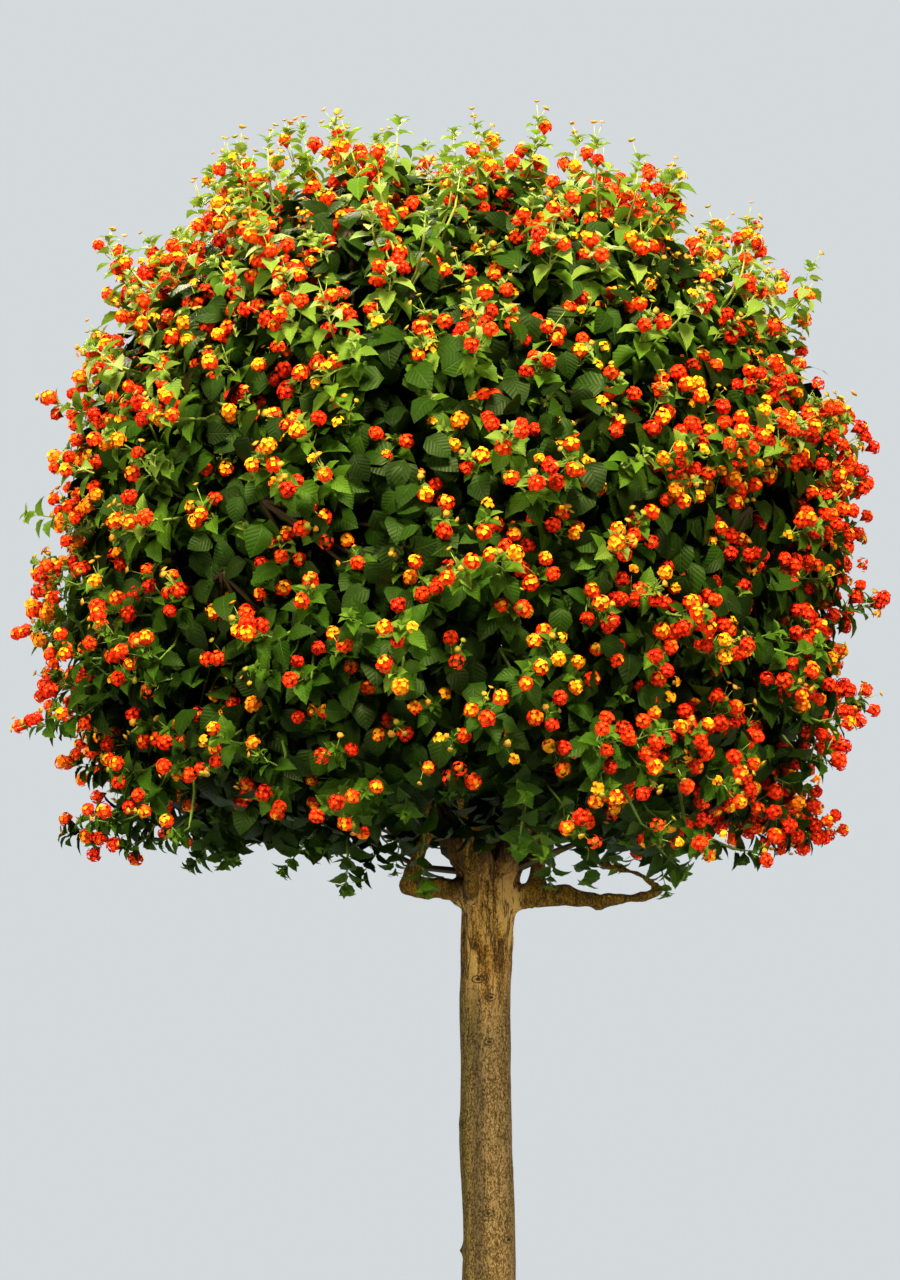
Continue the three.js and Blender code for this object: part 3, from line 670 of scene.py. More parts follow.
def growShoot(way, normal, clump, path, swell, size=1.0, flowers=1.0):
    # a stem to its tip, leaves in crossed pairs, a rosette, and flower stalks from the upper joints
    bough, tip = clumpBoughs[clump], path[2]
    growth = unit(path[2] - path[1])
    length = np.linalg.norm(path[1] - path[0]) + np.linalg.norm(path[2] - path[1])
    high = smooth(tip[2], 1.35, 2.62)
    stemTone = 0.55 + 0.35 * high
    stemRows[bough].append([*path[0], *path[1], *path[2], *shoots["stem"], stemTone, chance.random()])
    aside, other = crossWays(growth)
    quarter = chance.random() * math.pi
    size = size * (0.86 + 0.26 * chance.random())
    # painted light: a shoot's leaves get lighter tones high up, partly for young growth and partly as painted
    # sunlight, lighter ones at the crown's left and right sides as painted light, and darker ones as painted
    # shade where the shoot sinks into a hollow between clumps
    edge = smooth(abs(tip[0] + 0.03), 0.34, 0.68) * smooth(tip[2], 1.62, 1.92)
    share = shoots["tone"]
    toneWithPaintedLight = share["least"] + share["high"] * high + share["edge"] * edge + share["chance"] * chance.normal()
    toneWithPaintedLight += share["swell"] * (np.clip(swell, 0, 1.3) - 0.5)
    for pair, (below, long, angle, droop) in enumerate(shoots["pairs"]):
        foot = onPath(path, max(1 - below * (0.8 + 0.4 * size) / length, 0.12))
        for half in (0, 1):
            turn = quarter + math.pi * (pair / 2 + half) + chance.normal() * 0.16
            outward = turned(aside, other, turn)
            lean = math.radians(angle + chance.normal() * 9)
            leafWay = math.cos(lean) * growth + math.sin(lean) * outward
            leafWay = leafWay + normal * 0.18 - upward * droop * (0.75 + 0.5 * chance.random())
            face = growth * 0.55 + normal * 0.55 + upward * 0.45 + chance.normal(size=3) * 0.14
            young = 1 - pair / (len(shoots["pairs"]) - 1)
            leafTone = toneWithPaintedLight + (0.30 + 0.24 * high) * young ** 1.6 - 0.04 * max(pair - 2, 0)
            kind = "youngLeaf" if pair in (0, len(shoots["pairs"]) - 1) else "leaf"
            leafRows[bough, kind].append([
                *foot, *leafWay, *face, long * size * (0.85 + 0.3 * chance.random()),
                0.90 + 0.22 * chance.random(), 0.20 + 0.42 * chance.random(),
                0.45 + 0.70 * chance.random() + 0.3 * young, leafTone, chance.random()])
    # the rosette's tone rises with height: young growth and painted sunlight
    for bract in range(shoots["rosette"]):
        turn = goldenTurn * bract + quarter
        outward = turned(aside, other, turn)
        leafRows[bough, "youngLeaf"].append([
            *tip, *(growth + outward * (0.35 + 0.5 * chance.random())),
            *(growth + upward * 0.3 - outward * 0.6),
            0.014 + 0.012 * chance.random(), 0.75, 0.6, 1.0 + 0.9 * chance.random(),
            0.50 + 0.45 * high, chance.random()])
    if way[2] < heads["lowest"] or nearFork(tip) > forkLimit["flowers"]:
        return
    if chance.random() > heads["flowering"]:
        return
    for flower in range(round(chance.integers(heads["least"], heads["most"]) * fullness(tip) * flowers)):
        # the oldest heads stand lowest and lean out furthest
        turn = quarter + math.pi * (flower + 0.5 * (flower // 2 % 2)) + chance.normal() * 0.35
        outward = turned(aside, other, turn)
        age = min(flower / (heads["most"] - 1), 1.1)
        start = onPath(path, max(1 - (0.024 + 0.068 * age + 0.052 * max(normal[2], 0) ** 2) / length, 0.2))
        reach = chance.uniform(*heads["reach"])
        stalkWay = unit(growth * (0.65 - 0.30 * age) + outward * (0.55 + 0.40 * age) + normal * 0.40)
        axis = unit(stalkWay * 0.5 + normal * 0.5 + upward * 0.35)
        headSites.append((start, start + stalkWay * reach, axis, high, age))
    for _ in range(chance.integers(0, 4)):
        stalkWay = unit(growth + chance.normal(size=3) * 0.42)
        budSites.append((tip, tip + stalkWay * (0.014 + 0.028 * chance.random()), stalkWay))


for way, place, normal, clump, gap in zip(shootWays, shootPlaces, shootNormals, shootClumps, clumpGaps):
    swell = 1 - (gap / (0.62 * shoots["clumpSpacing"])) ** 2
    sunk = -shoots["hollow"] + (shoots["hollow"] + shoots["proud"]) * np.clip(swell, -0.1, 1)
    sunk += chance.normal() * 0.010 + 0.024 * max(normal[2], 0) ** 2
    tip = crown["centre"] + place + normal * sunk
    tip = tip - upward * shoots["curtain"] * nearFork(tip)
    lift = 0.55 if normal[2] > -0.5 else 0.05
    growth = unit(normal * 0.85 + upward * lift + chance.normal(size=3) * 0.22)
    growShoot(way, normal, clump, (clumpHubs[clump], tip - growth * shoots["tipReach"], tip), swell)

# loose shoots hang from the lower edge, bare for most of their length, and a few reach up at the top
# each way: how wide it goes, its height and how much chance adds to that
loose = {"hanging": 34, "reaching": 46, "clear": 0.45, "down": (1, -0.80, -0.12), "up": (0.75, 0.45, 0.9)}
for number in range(loose["hanging"] + loose["reaching"]):
    hangs = number < loose["hanging"]
    turn = chance.random() * 2 * math.pi
    if hangs and abs(math.cos(turn)) < loose["clear"]:
        continue
    wide, height, spread = loose["down"] if hangs else loose["up"]
    way = unit(np.array([wide * math.cos(turn), wide * math.sin(turn), height + spread * chance.random()]))
    normal = crownNormal(way[None])[0]
    clump = int(np.argmax(clumpWays @ way))
    side = unit(np.array([way[0], way[1], 0.0]))
    base = crown["centre"] + way * crownRadius(way[None])[0]
    if hangs:
        tip = base + side * chance.uniform(-0.03, 0.01) - upward * chance.uniform(0.0, 0.030)
        path = (clumpHubs[clump], tip - side * 0.055 - upward * 0.012, tip)
        growShoot(way, side, clump, path, 0.3, 0.75, 0.35)
    else:
        tip = base + unit(side * 0.4 + upward) * chance.uniform(0.012, 0.034)
        growShoot(way, normal, clump, (clumpHubs[clump], tip - upward * 0.10, tip), 1.3, 0.85, 0.12)
print("leaves:", sum(len(rows) for rows in leafRows.values()))

# twigs join the bough to the middle of each clump
for clump, hub in enumerate(clumpHubs):
    bough = clumpBoughs[clump]
    start = boughRoots[bough]
    bend = (start + hub) / 2 - clumpWays[clump] * shoots["twigBow"]
    if nearFork(bend) > forkLimit["twigs"]:
        continue
    stemRows[bough].append([*start, *bend, *hub, *shoots["twig"], shoots["twigTone"], chance.random()])

# bare twigs spread from the fork under the crown
bareTwigs = {
    "count": 15, "start": (1.30, 1.38), "reach": (0.20, 0.38), "rise": (0.06, 0.17), "bend": 0.036,
    "thick": (0.0045, 0.0075), "thin": 0.0024, "tone": 0.22, "axis": -0.003, "out": 0.03, "front": -0.45,
}
for number in range(bareTwigs["count"]):
    turn = goldenTurn * number + 0.5 * chance.random()
    side = np.array([math.cos(turn), math.sin(turn), 0.0])
    if side[1] < bareTwigs["front"]:
        continue
    start = np.array([bareTwigs["axis"], 0, chance.uniform(*bareTwigs["start"])]) + side * bareTwigs["out"]
    end = start + side * chance.uniform(*bareTwigs["reach"]) + upward * chance.uniform(*bareTwigs["rise"])
    bend = (start + end) / 2 + chance.normal(size=3) * bareTwigs["bend"]
    bough = clumpBoughs[np.argmax(clumpWays @ unit(end - crown["centre"]))]
    stemRows[bough].append([
        *start, *bend, *end, chance.uniform(*bareTwigs["thick"]), bareTwigs["thin"], bareTwigs["tone"],
        chance.random()])

# darker leaves behind, which close the view into the crown; their dark tones are painted shade, darkest
# deepest in
innerLeaves = {
    "count": 15000, "depth": (0.60, 0.875), "lowest": -0.90, "lift": 0.012,
    "length": (0.046, 0.062), "width": 1.40,
}
ways = unit(chance.normal(size=(innerLeaves["count"], 3)))
ways = ways[ways[:, 2] > innerLeaves["lowest"]]
depths = chance.uniform(*innerLeaves["depth"], size=len(ways))
feet = crown["centre"] + ways * (crownRadius(ways) * depths)[:, None]
normals = crownNormal(ways)
nearest = clumpBoughs[np.argmax(ways @ clumpWays.T, axis=1)]
for way, depth, foot, normal, bough in zip(ways, depths, feet, normals, nearest):
    foot = foot + upward * innerLeaves["lift"] * nearFork(foot)
    lean = unit(chance.normal(size=3) * 0.8 + normal * 0.35 - upward * 0.7)
    leafRows[bough, "backLeaf"].append([
        *foot, *lean, *(normal + upward * 0.3 + chance.normal(size=3) * 0.35),
        chance.uniform(*innerLeaves["length"]), innerLeaves["width"], 0.15 + 0.3 * chance.random(),
        0.3 + 0.6 * chance.random(), 0.01 + 0.15 * chance.random() * smooth(depth, 0.7, 0.9),
        chance.random()])

for (bough, kind), rows in leafRows.items():
    places, tone, luck = layLeaves(shapes[kind], rows)
    leafBunches[bough].put(shapes[kind], places, tone, luck, 0)
for bough, rows in enumerate(stemRows):
    places, tone, luck = layTubes(shapes["stem"], rows)
    leafBunches[bough].put(shapes["stem"], places, tone, luck, 1)
    piece = leafBunches[bough].build("leaves_" + boughNames[bough][-2:], [leafGreen, stemGreen])
    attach(piece, "root")
    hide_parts(boughNames[bough])
print("foliage:", len(boughNames), "pieces")


# flower heads: domes of florets, yellow where young and red where old
def spareHeads(sites):
    kept, ends = [], np.empty((0, 3))
    for site in sites:
        if not len(ends) or np.min(np.sum((ends - site[1]) ** 2, axis=1)) > heads["nearest"] ** 2:
            kept.append(site)
            ends = np.vstack([ends, site[1]])
    return kept


def floretTones(kind, around, many):
    jitter = chance.normal(size=many) * 0.035
    if kind == "twoTone":
        edge = chance.uniform(0.40, 1.15)
        return 0.31 + 0.38 * smooth(around, edge - 0.25, edge + 0.3) + jitter
    if kind in ("red", "spent"):
        return chance.uniform(0.62, 0.84) + 0.08 * smooth(around, 0.3, 1.6) + jitter
    return chance.uniform(0.27, 0.37) + 0.16 * smooth(around, 0.5, 1.8) + jitter


def layFlorets(bunch, centre, axis, radius, kind):
    many = int(chance.integers(*heads["few"].get(kind, heads["florets"])))
    reach = heads["youngAround"] if kind == "young" else heads["around"]
    down = 1 - (np.arange(many) + 0.5) / many * (1 - math.cos(reach))
    around = np.arccos(down) + chance.normal(size=many) * 0.06
    turn = goldenTurn * np.arange(many) + chance.random() * 6
    aside, other = crossWays(axis)
    ways = (np.cos(around)[:, None] * axis
            + (np.sin(around) * np.cos(turn))[:, None] * aside
            + (np.sin(around) * np.sin(turn))[:, None] * other)
    faces = unit(ways + chance.normal(size=ways.shape) * 0.16)
    sides = unit(np.cross(faces, chance.normal(size=ways.shape)))
    ends = np.cross(faces, sides)
    size = heads["floret"] * chance.uniform(0.86, 1.12, size=many)[:, None, None]
    middles = centre + ways * (radius * chance.uniform(0.95, 1.1, size=many))[:, None]
    tones, lucks = floretTones(kind, around, many), chance.random(many)
    for name, those in (("floret", around < heads["lobed"]), ("sideFloret", around >= heads["lobed"])):
        x, y, z = (shapes[name]["points"][None, :, k, None] for k in range(3))
        side, end, face = (rows[those][:, None] for rows in (sides, ends, faces))
        points = middles[those][:, None] + size[those] * (x * side + y * end + z * face)
        bunch.put(shapes[name], points, tones[those], lucks[those], 0)
    return float(np.mean(tones))


def layRound(shape, centre, axis, wide, tall):
    aside = unit(np.cross(axis, [0.3, 0.9, 0.2]))
    other = np.cross(axis, aside)
    x, y, z = (shape["points"][:, k, None] for k in range(3))
    return (centre + wide * (x * aside + y * other) + tall * z * axis)[None]


def headKind(place, high, age):
    # more yellow high up and to the left, more red low down, to the right and in old heads
    share = heads["red"]
    red = share["least"] + share["side"] * smooth(place[0], -0.7, 0.6)
    red = red + share["low"] * (1 - high) + share["age"] * age
    draw = chance.random()
    if draw < red:
        return "red"
    if draw < red + heads["spent"]:
        return "spent"
    if draw > heads["pale"] - 0.15 * high:
        return "young" if chance.random() < 0.6 else "yellow"
    return "twoTone"


headSites = spareHeads(headSites)
stalkRows = [[] for _ in sprayNames]
for start, centre, axis, high, age in headSites:
    spray = int(np.argmax(sprayWays @ unit(centre - crown["centre"])))
    bunch, kind = bloomBunches[spray], headKind(centre, high, age)
    radius = heads["radius"] * chance.uniform(0.80, 1.12) * (0.80 if kind == "young" else 1)
    tone = layFlorets(bunch, centre, axis, radius, kind)
    small, deep = (0.55, 0.10) if kind in ("spent", "young") else (0.96, tone + 0.06)
    core = layRound(shapes["core"], centre, axis, radius * small, radius * small)
    bunch.put(shapes["core"], core, deep, 0.5, 0)
    end = centre - axis * radius * 0.9
    bend = (start + end) / 2 + (end - start) * 0.1 - axis * 0.006
    stalkRows[spray].append([*start, *bend, *end, *heads["stalk"], heads["stalkTone"], chance.random()])
for start, centre, axis in budSites:
    spray = int(np.argmax(sprayWays @ unit(centre - crown["centre"])))
    wide, ripe = chance.uniform(*buds["radius"]), chance.uniform(*buds["tone"])
    cup = layRound(shapes["buds"], centre, axis, wide, wide * buds["flat"])
    bloomBunches[spray].put(shapes["buds"], cup, ripe, 0.5, 0)
    stalkRows[spray].append([
        *start, *((start + centre) / 2), *centre, *buds["stalk"], buds["stalkTone"], chance.random()])
for spray, rows in enumerate(stalkRows):
    places, tone, luck = layTubes(shapes["stalk"], rows)
    bloomBunches[spray].put(shapes["stalk"], places, tone, luck, 1)
    piece = bloomBunches[spray].build("blooms_" + sprayNames[spray][-2:], [bloomOrangeRed, stemGreen])
    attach(piece, "root")
    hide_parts(sprayNames[spray])
print("blooms:", len(headSites), "heads and", len(budSites), "bud heads in", len(sprayNames), "pieces")


# trunk and limbs: the solid's own form, rounded, with knots and furrowed bark
wood = {
    "cell": 0.0070, "seam": 0.00002, "lean": -0.003,
    # knots: degrees round the trunk from the front, and height
    "knots": ((-15, 1.130), (13, 1.100), (7, 1.022), (9, 0.731), (56, 0.680),
              (150, 0.950), (205, 1.120), (100, 0.800), (250, 0.660), (-60, 0.880)),
    "knotRadius": 0.011, "knotShape": (1, 0.45, 0.6), "trunkRadius": 0.0455, "justOutside": 0.09,
    # young limbs that rise from the fork, each through three places
    "risers": (((-0.027, -0.050, 1.268), (-0.031, -0.112, 1.325), (-0.035, -0.135, 1.46)),
               ((0.084, 0.000, 1.27), (0.089, -0.012, 1.34), (0.104, -0.024, 1.45))),
    "riserRadius": 0.0125, "riserOverlap": 0.012,
    # relief: size and depth of its noise, strength, level that stays, stretch along the trunk, and where
    "relief": {
        "slowSwelling": (0.10, 1, 0.010, 0.5, 2.2, "trunk"),
        "gnarls": (0.034, 1, 0.012, 0.30, 1, "limbs"),
        "fissures": (0.016, 1, 0.011, 0.6, 5.0, "underFork"),
        "furrows": (0.010, 2, 0.0020, 0.5, 5.0, "trunk"),
    },
}
knotPlaces = []


def textureSpace(stretch):
    bpy.ops.object.empty_add(location=(0, 0, 0))
    space = bpy.context.object
    space.scale = (1, 1, stretch)
    return space


def cloudTexture(name, size, depth):
    texture = bpy.data.textures.new(name, "CLOUDS")
    texture.noise_scale = size
    texture.noise_depth = depth
    return texture


def addKnots():
    added = []
    for degrees, height in wood["knots"]:
        turn, out = math.radians(degrees), wood["trunkRadius"]
        bpy.ops.mesh.primitive_ico_sphere_add(
            location=(out * math.sin(turn) + wood["lean"], -out * math.cos(turn), height),
            rotation=(0, 0, turn), subdivisions=2, radius=wood["knotRadius"], scale=wood["knotShape"])
        added.append(bpy.context.object)
    return added


def addRisers():
    added = []
    for places in wood["risers"]:
        for low, high in zip(np.array(places), np.array(places[1:])):
            way = high - low
            bpy.ops.mesh.primitive_cylinder_add(
                vertices=12, radius=wood["riserRadius"],
                depth=float(np.linalg.norm(way)) + wood["riserOverlap"], location=(low + high) / 2,
                rotation=(0, math.atan2(math.hypot(way[0], way[1]), way[2]), math.atan2(way[1], way[0])))
            added.append(bpy.context.object)
    return added


def groupWood(piece):
    # how much each point belongs to the trunk, to the limbs and to the place under the fork, in ten steps
    points = pointsOf(piece.data)
    out, high = np.hypot(*points[:, :2].T), points[:, 2]
    limb = 1 - (1 - smooth(high, 1.22, 1.34)) * (1 - smooth(out, 0.06, 0.09))
    under = smooth(high, 1.08, 1.20) * (1 - smooth(high, 1.30, 1.40)) * (1 - smooth(out, 0.07, 0.12))
    for name, share in (("trunk", 1 - 0.8 * limb), ("limbs", limb), ("underFork", under)):
        group = piece.vertex_groups.new(name=name)
        for level in range(10):
            members = np.flatnonzero((share >= level / 10) & (share <= (level + 1) / 10))
            group.add(members.tolist(), (level + 0.5) / 10, "REPLACE")


def makeWood():
    mesh = nodes["trunk_and_limbs"].data.copy()
    piece = bpy.data.objects.new("trunkAndLimbs", mesh)
    bpy.context.scene.collection.objects.link(piece)
    takeUp(piece)
    bpy.ops.object.mode_set(mode="EDIT")
    bpy.ops.mesh.select_all(action="SELECT")
    bpy.ops.mesh.remove_doubles(threshold=wood["seam"])
    bpy.ops.object.mode_set(mode="OBJECT")
    added = addKnots() + addRisers()
    takeUp(piece)
    for part in added:
        part.select_set(True)
    bpy.ops.object.join()
    addModifier(piece, "REMESH", {"mode": "VOXEL", "voxel_size": wood["cell"]})
    addModifier(piece, "SMOOTH", {"factor": 0.5, "iterations": 5})
    groupWood(piece)
    for name, (size, depth, strength, middle, stretch, group) in wood["relief"].items():
        space = textureSpace(stretch)
        addModifier(piece, "DISPLACE", {
            "texture": cloudTexture(name, size, depth), "strength": strength, "mid_level": middle,
            "texture_coords": "OBJECT", "texture_coords_object": space, "vertex_group": group})
        bpy.data.objects.remove(space)
    piece.vertex_groups.clear()
    # the eye of each knot is the finished point nearest to a place just outside
    points = pointsOf(piece.data)
    for degrees, height in wood["knots"]:
        turn, out = math.radians(degrees), wood["justOutside"]
        outside = (out * math.sin(turn) + wood["lean"], -out * math.cos(turn), height)
        knotPlaces.append(points[np.argmin(np.linalg.norm(points - outside, axis=1))].tolist())
    piece.data.shade_smooth()
    return piece


barkLook = {
    "trunk": ((0.22, (0.052, 0.030, 0.005)), (0.50, (0.150, 0.094, 0.026)), (0.78, (0.350, 0.242, 0.104))),
    "fork": ((0.20, (0.120, 0.046, 0.003)), (0.50, (0.440, 0.225, 0.026)), (0.80, (0.800, 0.500, 0.145))),
    # moss colour for the trunk's left side, darker than the trunk's as painted shade
    "mossAndLeftShade": ((0.22, (0.028, 0.019, 0.002)), (0.50, (0.094, 0.064, 0.005)), (0.78, (0.270, 0.195, 0.038))),
    "limb": ((0.20, (0.060, 0.028, 0.001)), (0.50, (0.150, 0.072, 0.001)), (0.80, (0.320, 0.180, 0.006))),
    # the inside colour darkens the fork under the crown as painted shade
    "crack": (0.028, 0.015, 0.005), "inside": (0.24, 0.17, 0.12), "lit": (1.5, 1.42, 1.35), "gloss": 0.22,
}


def barkFinish():
    m = Finish("bark")
    across, _, high = m.split(m.add("TexCoord", output=3))
    out = m.add("VectorMath", {"operation": "LENGTH"}, {0: m.place((1, 1, 0))}, output=1)
    streak = m.noise(230, 4, 0.7, (1, 1, 0.16))
    grain = m.noise(420, 4, 0.75, (1, 1, 0.55))
    crumb = m.noise(160, 3, 0.65, (1, 1, 0.7))
    cloud = m.noise(15, 4, 0.6, (1, 1, 0.30))
    plate = m.noise(42, 2, 0.5, (1, 1, 0.22))
    # rough grain from dark to light, redder and deeper cut under the fork, dark and golden on the limbs
    deep = m.step(high + (cloud - 0.5) * 0.25, 1.05, 1.22)
    limb = m.step(out + (crumb - 0.5) * 0.02, 0.054, 0.085)
    level = m.clamped((grain * 1.2 + streak * 0.5 + crumb * 0.3 - 1.0) * 2.4 + 0.54 + (cloud - 0.5) * 0.6)
    plates = m.ramp(m.clamped(level * 0.8 + 0.1 + (plate - 0.5) * 2.6), barkLook["fork"])
    colour = m.mix(deep, m.ramp(level, barkLook["trunk"]), plates)
    # painted shade: high in the fork and near the middle, the wood is darkened where the crown shades it
    inside = m.step(high + (cloud - 0.5) * 0.06, 1.25, 1.36) * (1 - m.step(out, 0.085, 0.105))
    # moss green on the left side and in patches; on the left it is also darker, as painted shade
    left = m.step(across * -1 + (cloud - 0.5) * 0.05, 0.016, 0.042)
    mossAndLeftShade = m.clamped(left * 0.8 + m.step(cloud, 0.60, 0.70) * 0.3)
    colour = m.mix(mossAndLeftShade * (1 - deep), colour, m.ramp(level, barkLook["mossAndLeftShade"]))
    colour = m.mix(limb * m.step(high, 1.18, 1.22), colour, m.ramp(level, barkLook["limb"]))
    # the painted shade in the fork
    colour = m.tinted(inside * 0.8, colour, barkLook["inside"])
    # a dark band to the left of a lit one runs up the front
    band = abs(across + 0.017 + (cloud - 0.5) * 0.03)
    shade = (1 - m.step(band, 0.003, 0.015)) * (1 - deep) * 0.5
    lit = m.step(across + (cloud - 0.5) * 0.03, -0.008, 0.004) * (1 - m.step(across, 0.024, 0.036))
    colour = m.tinted(lit * (1 - deep) * 0.5, colour, barkLook["lit"])
    # long cracks wander down from the fork, and short ones lie across
    crack = 1 - m.step(abs(m.noise(54, 3, 0.6, (1, 1, 0.12)) - 0.5), 0.0, 0.006 + deep * 0.036)
    crack = crack * m.step(cloud + deep * 0.3, 0.48, 0.60)
    nick = m.step(m.noise(80, 3, 0.65, (0.35, 0.35, 1.6)), 0.66, 0.72)
    # each knot is a dark eye in a flat ring
    far = None
    for place in knotPlaces:
        flat = (place[0], place[1], place[2] * 1.8)
        off = m.add("VectorMath", {"operation": "DISTANCE"}, {0: m.place((1, 1, 1.8)), 1: flat}, output=1)
        far = off if far is None else m.sum("MINIMUM", far, off)
    far = far + (crumb - 0.5) * 0.006
    eye = 1 - m.step(far, 0.002, 0.007)
    ring = m.step(far, 0.008, 0.0105) * (1 - m.step(far, 0.0105, 0.014))
    dark = m.clamped(crack * 0.85 + nick * 0.5 + eye + ring * 0.8 + shade)
    colour = m.mix(dark, colour, barkLook["crack"])
    height = m.bump(level * 0.9 + streak * 0.3 - crack - nick * 0.3 - eye - ring * 0.4, 1.0, 0.0036)
    return m.show(m.surface(colour, 0.82 + crumb * 0.12, height, barkLook["gloss"]))


trunk = makeWood()
trunk.data.materials.clear()
trunk.data.materials.append(barkFinish())
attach(trunk, "root")
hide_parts("trunk_and_limbs")
print("trunk:", len(trunk.data.polygons), "faces")


# the pot: thrown clay, with a thick band at its rim and drain holes under it
pot = {
    "height": 0.520, "baseRadius": 0.215, "shoulderRadius": 0.272, "rimRadius": 0.292, "rimBand": 0.078,
    "wall": 0.022, "lip": 0.262, "floor": 0.026, "sides": 96, "steps": 12,
    "hole": 0.014, "holeCircle": 0.095, "holes": 4, "round": 0.005, "uneven": 0.0016,
}


def makePot():
    under = pot["height"] - pot["rimBand"]
    slope = (pot["shoulderRadius"] - pot["baseRadius"]) / under
    outside = [(pot["baseRadius"] + slope * under * k / pot["steps"], under * k / pot["steps"])
               for k in range(1, pot["steps"] + 1)]
    band = [(pot["rimRadius"], under), (pot["rimRadius"], under + 0.03), (pot["rimRadius"], pot["height"])]
    inside = [(pot["lip"], pot["height"]), (pot["shoulderRadius"] - pot["wall"], under),
              (pot["baseRadius"] + slope * pot["floor"] - pot["wall"], pot["floor"])]
    bpy.ops.mesh.primitive_circle_add(vertices=pot["sides"], radius=pot["baseRadius"], fill_type="NGON")
    bpy.ops.object.mode_set(mode="EDIT")
    bpy.ops.mesh.select_all(action="SELECT")
    radius, height = pot["baseRadius"], 0.0
    for wide, tall in outside + band + inside:
        bpy.ops.mesh.extrude_region_move(TRANSFORM_OT_translate={"value": (0, 0, tall - height)})
        bpy.ops.transform.resize(value=(wide / radius, wide / radius, 1))
        radius, height = wide, tall
    sharp = [(pot["baseRadius"], 0), band[0], band[2], inside[0], inside[2]]
    choose(lambda e, co: any(
        abs(math.hypot(co.x, co.y) - r) < 0.002 and abs(co.z - z) < 0.001 for r, z in sharp), "EDGE")
    bpy.ops.mesh.bevel(offset=pot["round"], segments=3, affect="EDGES")
    bpy.ops.mesh.select_all(action="SELECT")
    bpy.ops.mesh.normals_make_consistent(inside=False)
    putDown()
    piece = bpy.context.object
    piece.name = "clayPot"
    for hole in range(pot["holes"]):
        turn = 2 * math.pi * (hole + 0.5) / pot["holes"]
        bpy.ops.mesh.primitive_cylinder_add(
            vertices=24, radius=pot["hole"], depth=0.2,
            location=(pot["holeCircle"] * math.cos(turn), pot["holeCircle"] * math.sin(turn), 0))
        drill = bpy.context.object
        addModifier(piece, "BOOLEAN", {"operation": "DIFFERENCE", "object": drill, "solver": "EXACT"})
        bpy.data.objects.remove(drill)
    addModifier(piece, "DISPLACE", {
        "texture": cloudTexture("thrownClay", 0.12, 1), "strength": pot["uneven"], "mid_level": 0.5})
    takeUp(piece)
    bpy.ops.object.shade_smooth_by_angle(angle=math.radians(40))
    return piece


clayLook = {
    "dull": (0.440, 0.160, 0.075), "bright": (0.560, 0.240, 0.125), "rings": (0.340, 0.120, 0.060),
    "lime": (0.680, 0.560, 0.460), "footDarkening": (0.170, 0.075, 0.040), "grain": (0.250, 0.100, 0.055),
}


def clayFinish():
    m = Finish("firedClay")
    high = m.split(m.add("TexCoord", output=3))[2]
    cloud, grain = m.noise(7, 4, 0.6), m.noise(260, 3, 0.6)
    rings = m.noise(3, 2, 0.5, (0.6, 0.6, 30))
    clay = m.mix(m.step(cloud, 0.35, 0.68), clayLook["dull"], clayLook["bright"])
    clay = m.mix(m.step(rings, 0.55, 0.75) * 0.25, clay, clayLook["rings"])
    # pale lime drawn out of the wall, and darker towards the foot
    lime = m.step(m.noise(11, 5, 0.68, (1, 1, 0.7)), 0.52, 0.72) * m.step(high, 0.50, 0.12)
    clay = m.mix(lime * 0.55, clay, clayLook["lime"])
    clay = m.mix(m.step(high + (cloud - 0.5) * 0.08, 0.07, 0.0) * 0.6, clay, clayLook["footDarkening"])
    clay = m.mix(m.step(grain, 0.62, 0.80) * 0.35, clay, clayLook["grain"])
    height = m.bump(grain * 0.5 + rings * 0.7 + lime * 0.3, 0.5, 0.0016)
    return m.show(m.surface(clay, 0.80 + grain * 0.12, height))


clayPot = makePot()
clayPot.data.materials.append(clayFinish())
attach(clayPot, "root")
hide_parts("pot")
print("pot:", len(clayPot.data.polygons), "faces")


# the soil: a shallow mound of crumbs that meets the pot and the trunk
soil = {
    "top": 0.478, "thick": 0.036, "rings": 34, "mound": 0.008, "moundRadius": 0.120, "moundSteps": 12,
    "crumbs": 520, "crumbRadius": (0.0025, 0.0070), "crumbReach": 0.250,
    # relief: size of its noise and strength
    "relief": {"clods": (0.030, 0.011), "crumbs": (0.009, 0.006)},
}


def makeSoil():
    under = pot["height"] - pot["rimBand"]
    wall = pot["shoulderRadius"] - pot["wall"]
    radius = wall + (pot["lip"] - wall) * (soil["top"] - under) / pot["rimBand"] - 0.001
    bpy.ops.mesh.primitive_cylinder_add(
        vertices=96, radius=radius, depth=soil["thick"], location=(0, 0, soil["top"] - soil["thick"] / 2))
    applyPlace()
    piece = bpy.context.object
    piece.name = "pottingSoil"
    bpy.ops.object.mode_set(mode="EDIT")
    choose(lambda f, co: co.z > soil["top"] - 0.001, "FACE")
    for _ in range(soil["rings"]):
        bpy.ops.mesh.inset(thickness=(radius - 0.012) / soil["rings"])
    bpy.ops.mesh.poke()
    for ring in range(soil["moundSteps"]):
        inner = soil["moundRadius"] * (1 - ring / soil["moundSteps"])
        choose(lambda v, co: co.z > soil["top"] - 0.001 and math.hypot(co.x, co.y) < inner)
        bpy.ops.transform.translate(value=(0, 0, soil["mound"] / soil["moundSteps"]))
    putDown()
    rough = piece.vertex_groups.new(name="top")
    top = [v.index for v in piece.data.vertices
           if v.co.z > soil["top"] - 0.001 and v.co.xy.length < radius - 0.004]
    rough.add(top, 1, "REPLACE")
    for name, (size, strength) in soil["relief"].items():
        addModifier(piece, "DISPLACE", {
            "texture": cloudTexture(name, size, 2), "strength": strength, "mid_level": 0.55,
            "vertex_group": "top", "direction": "Z"})
    piece.vertex_groups.clear()
    piece.data.shade_smooth()
    return piece


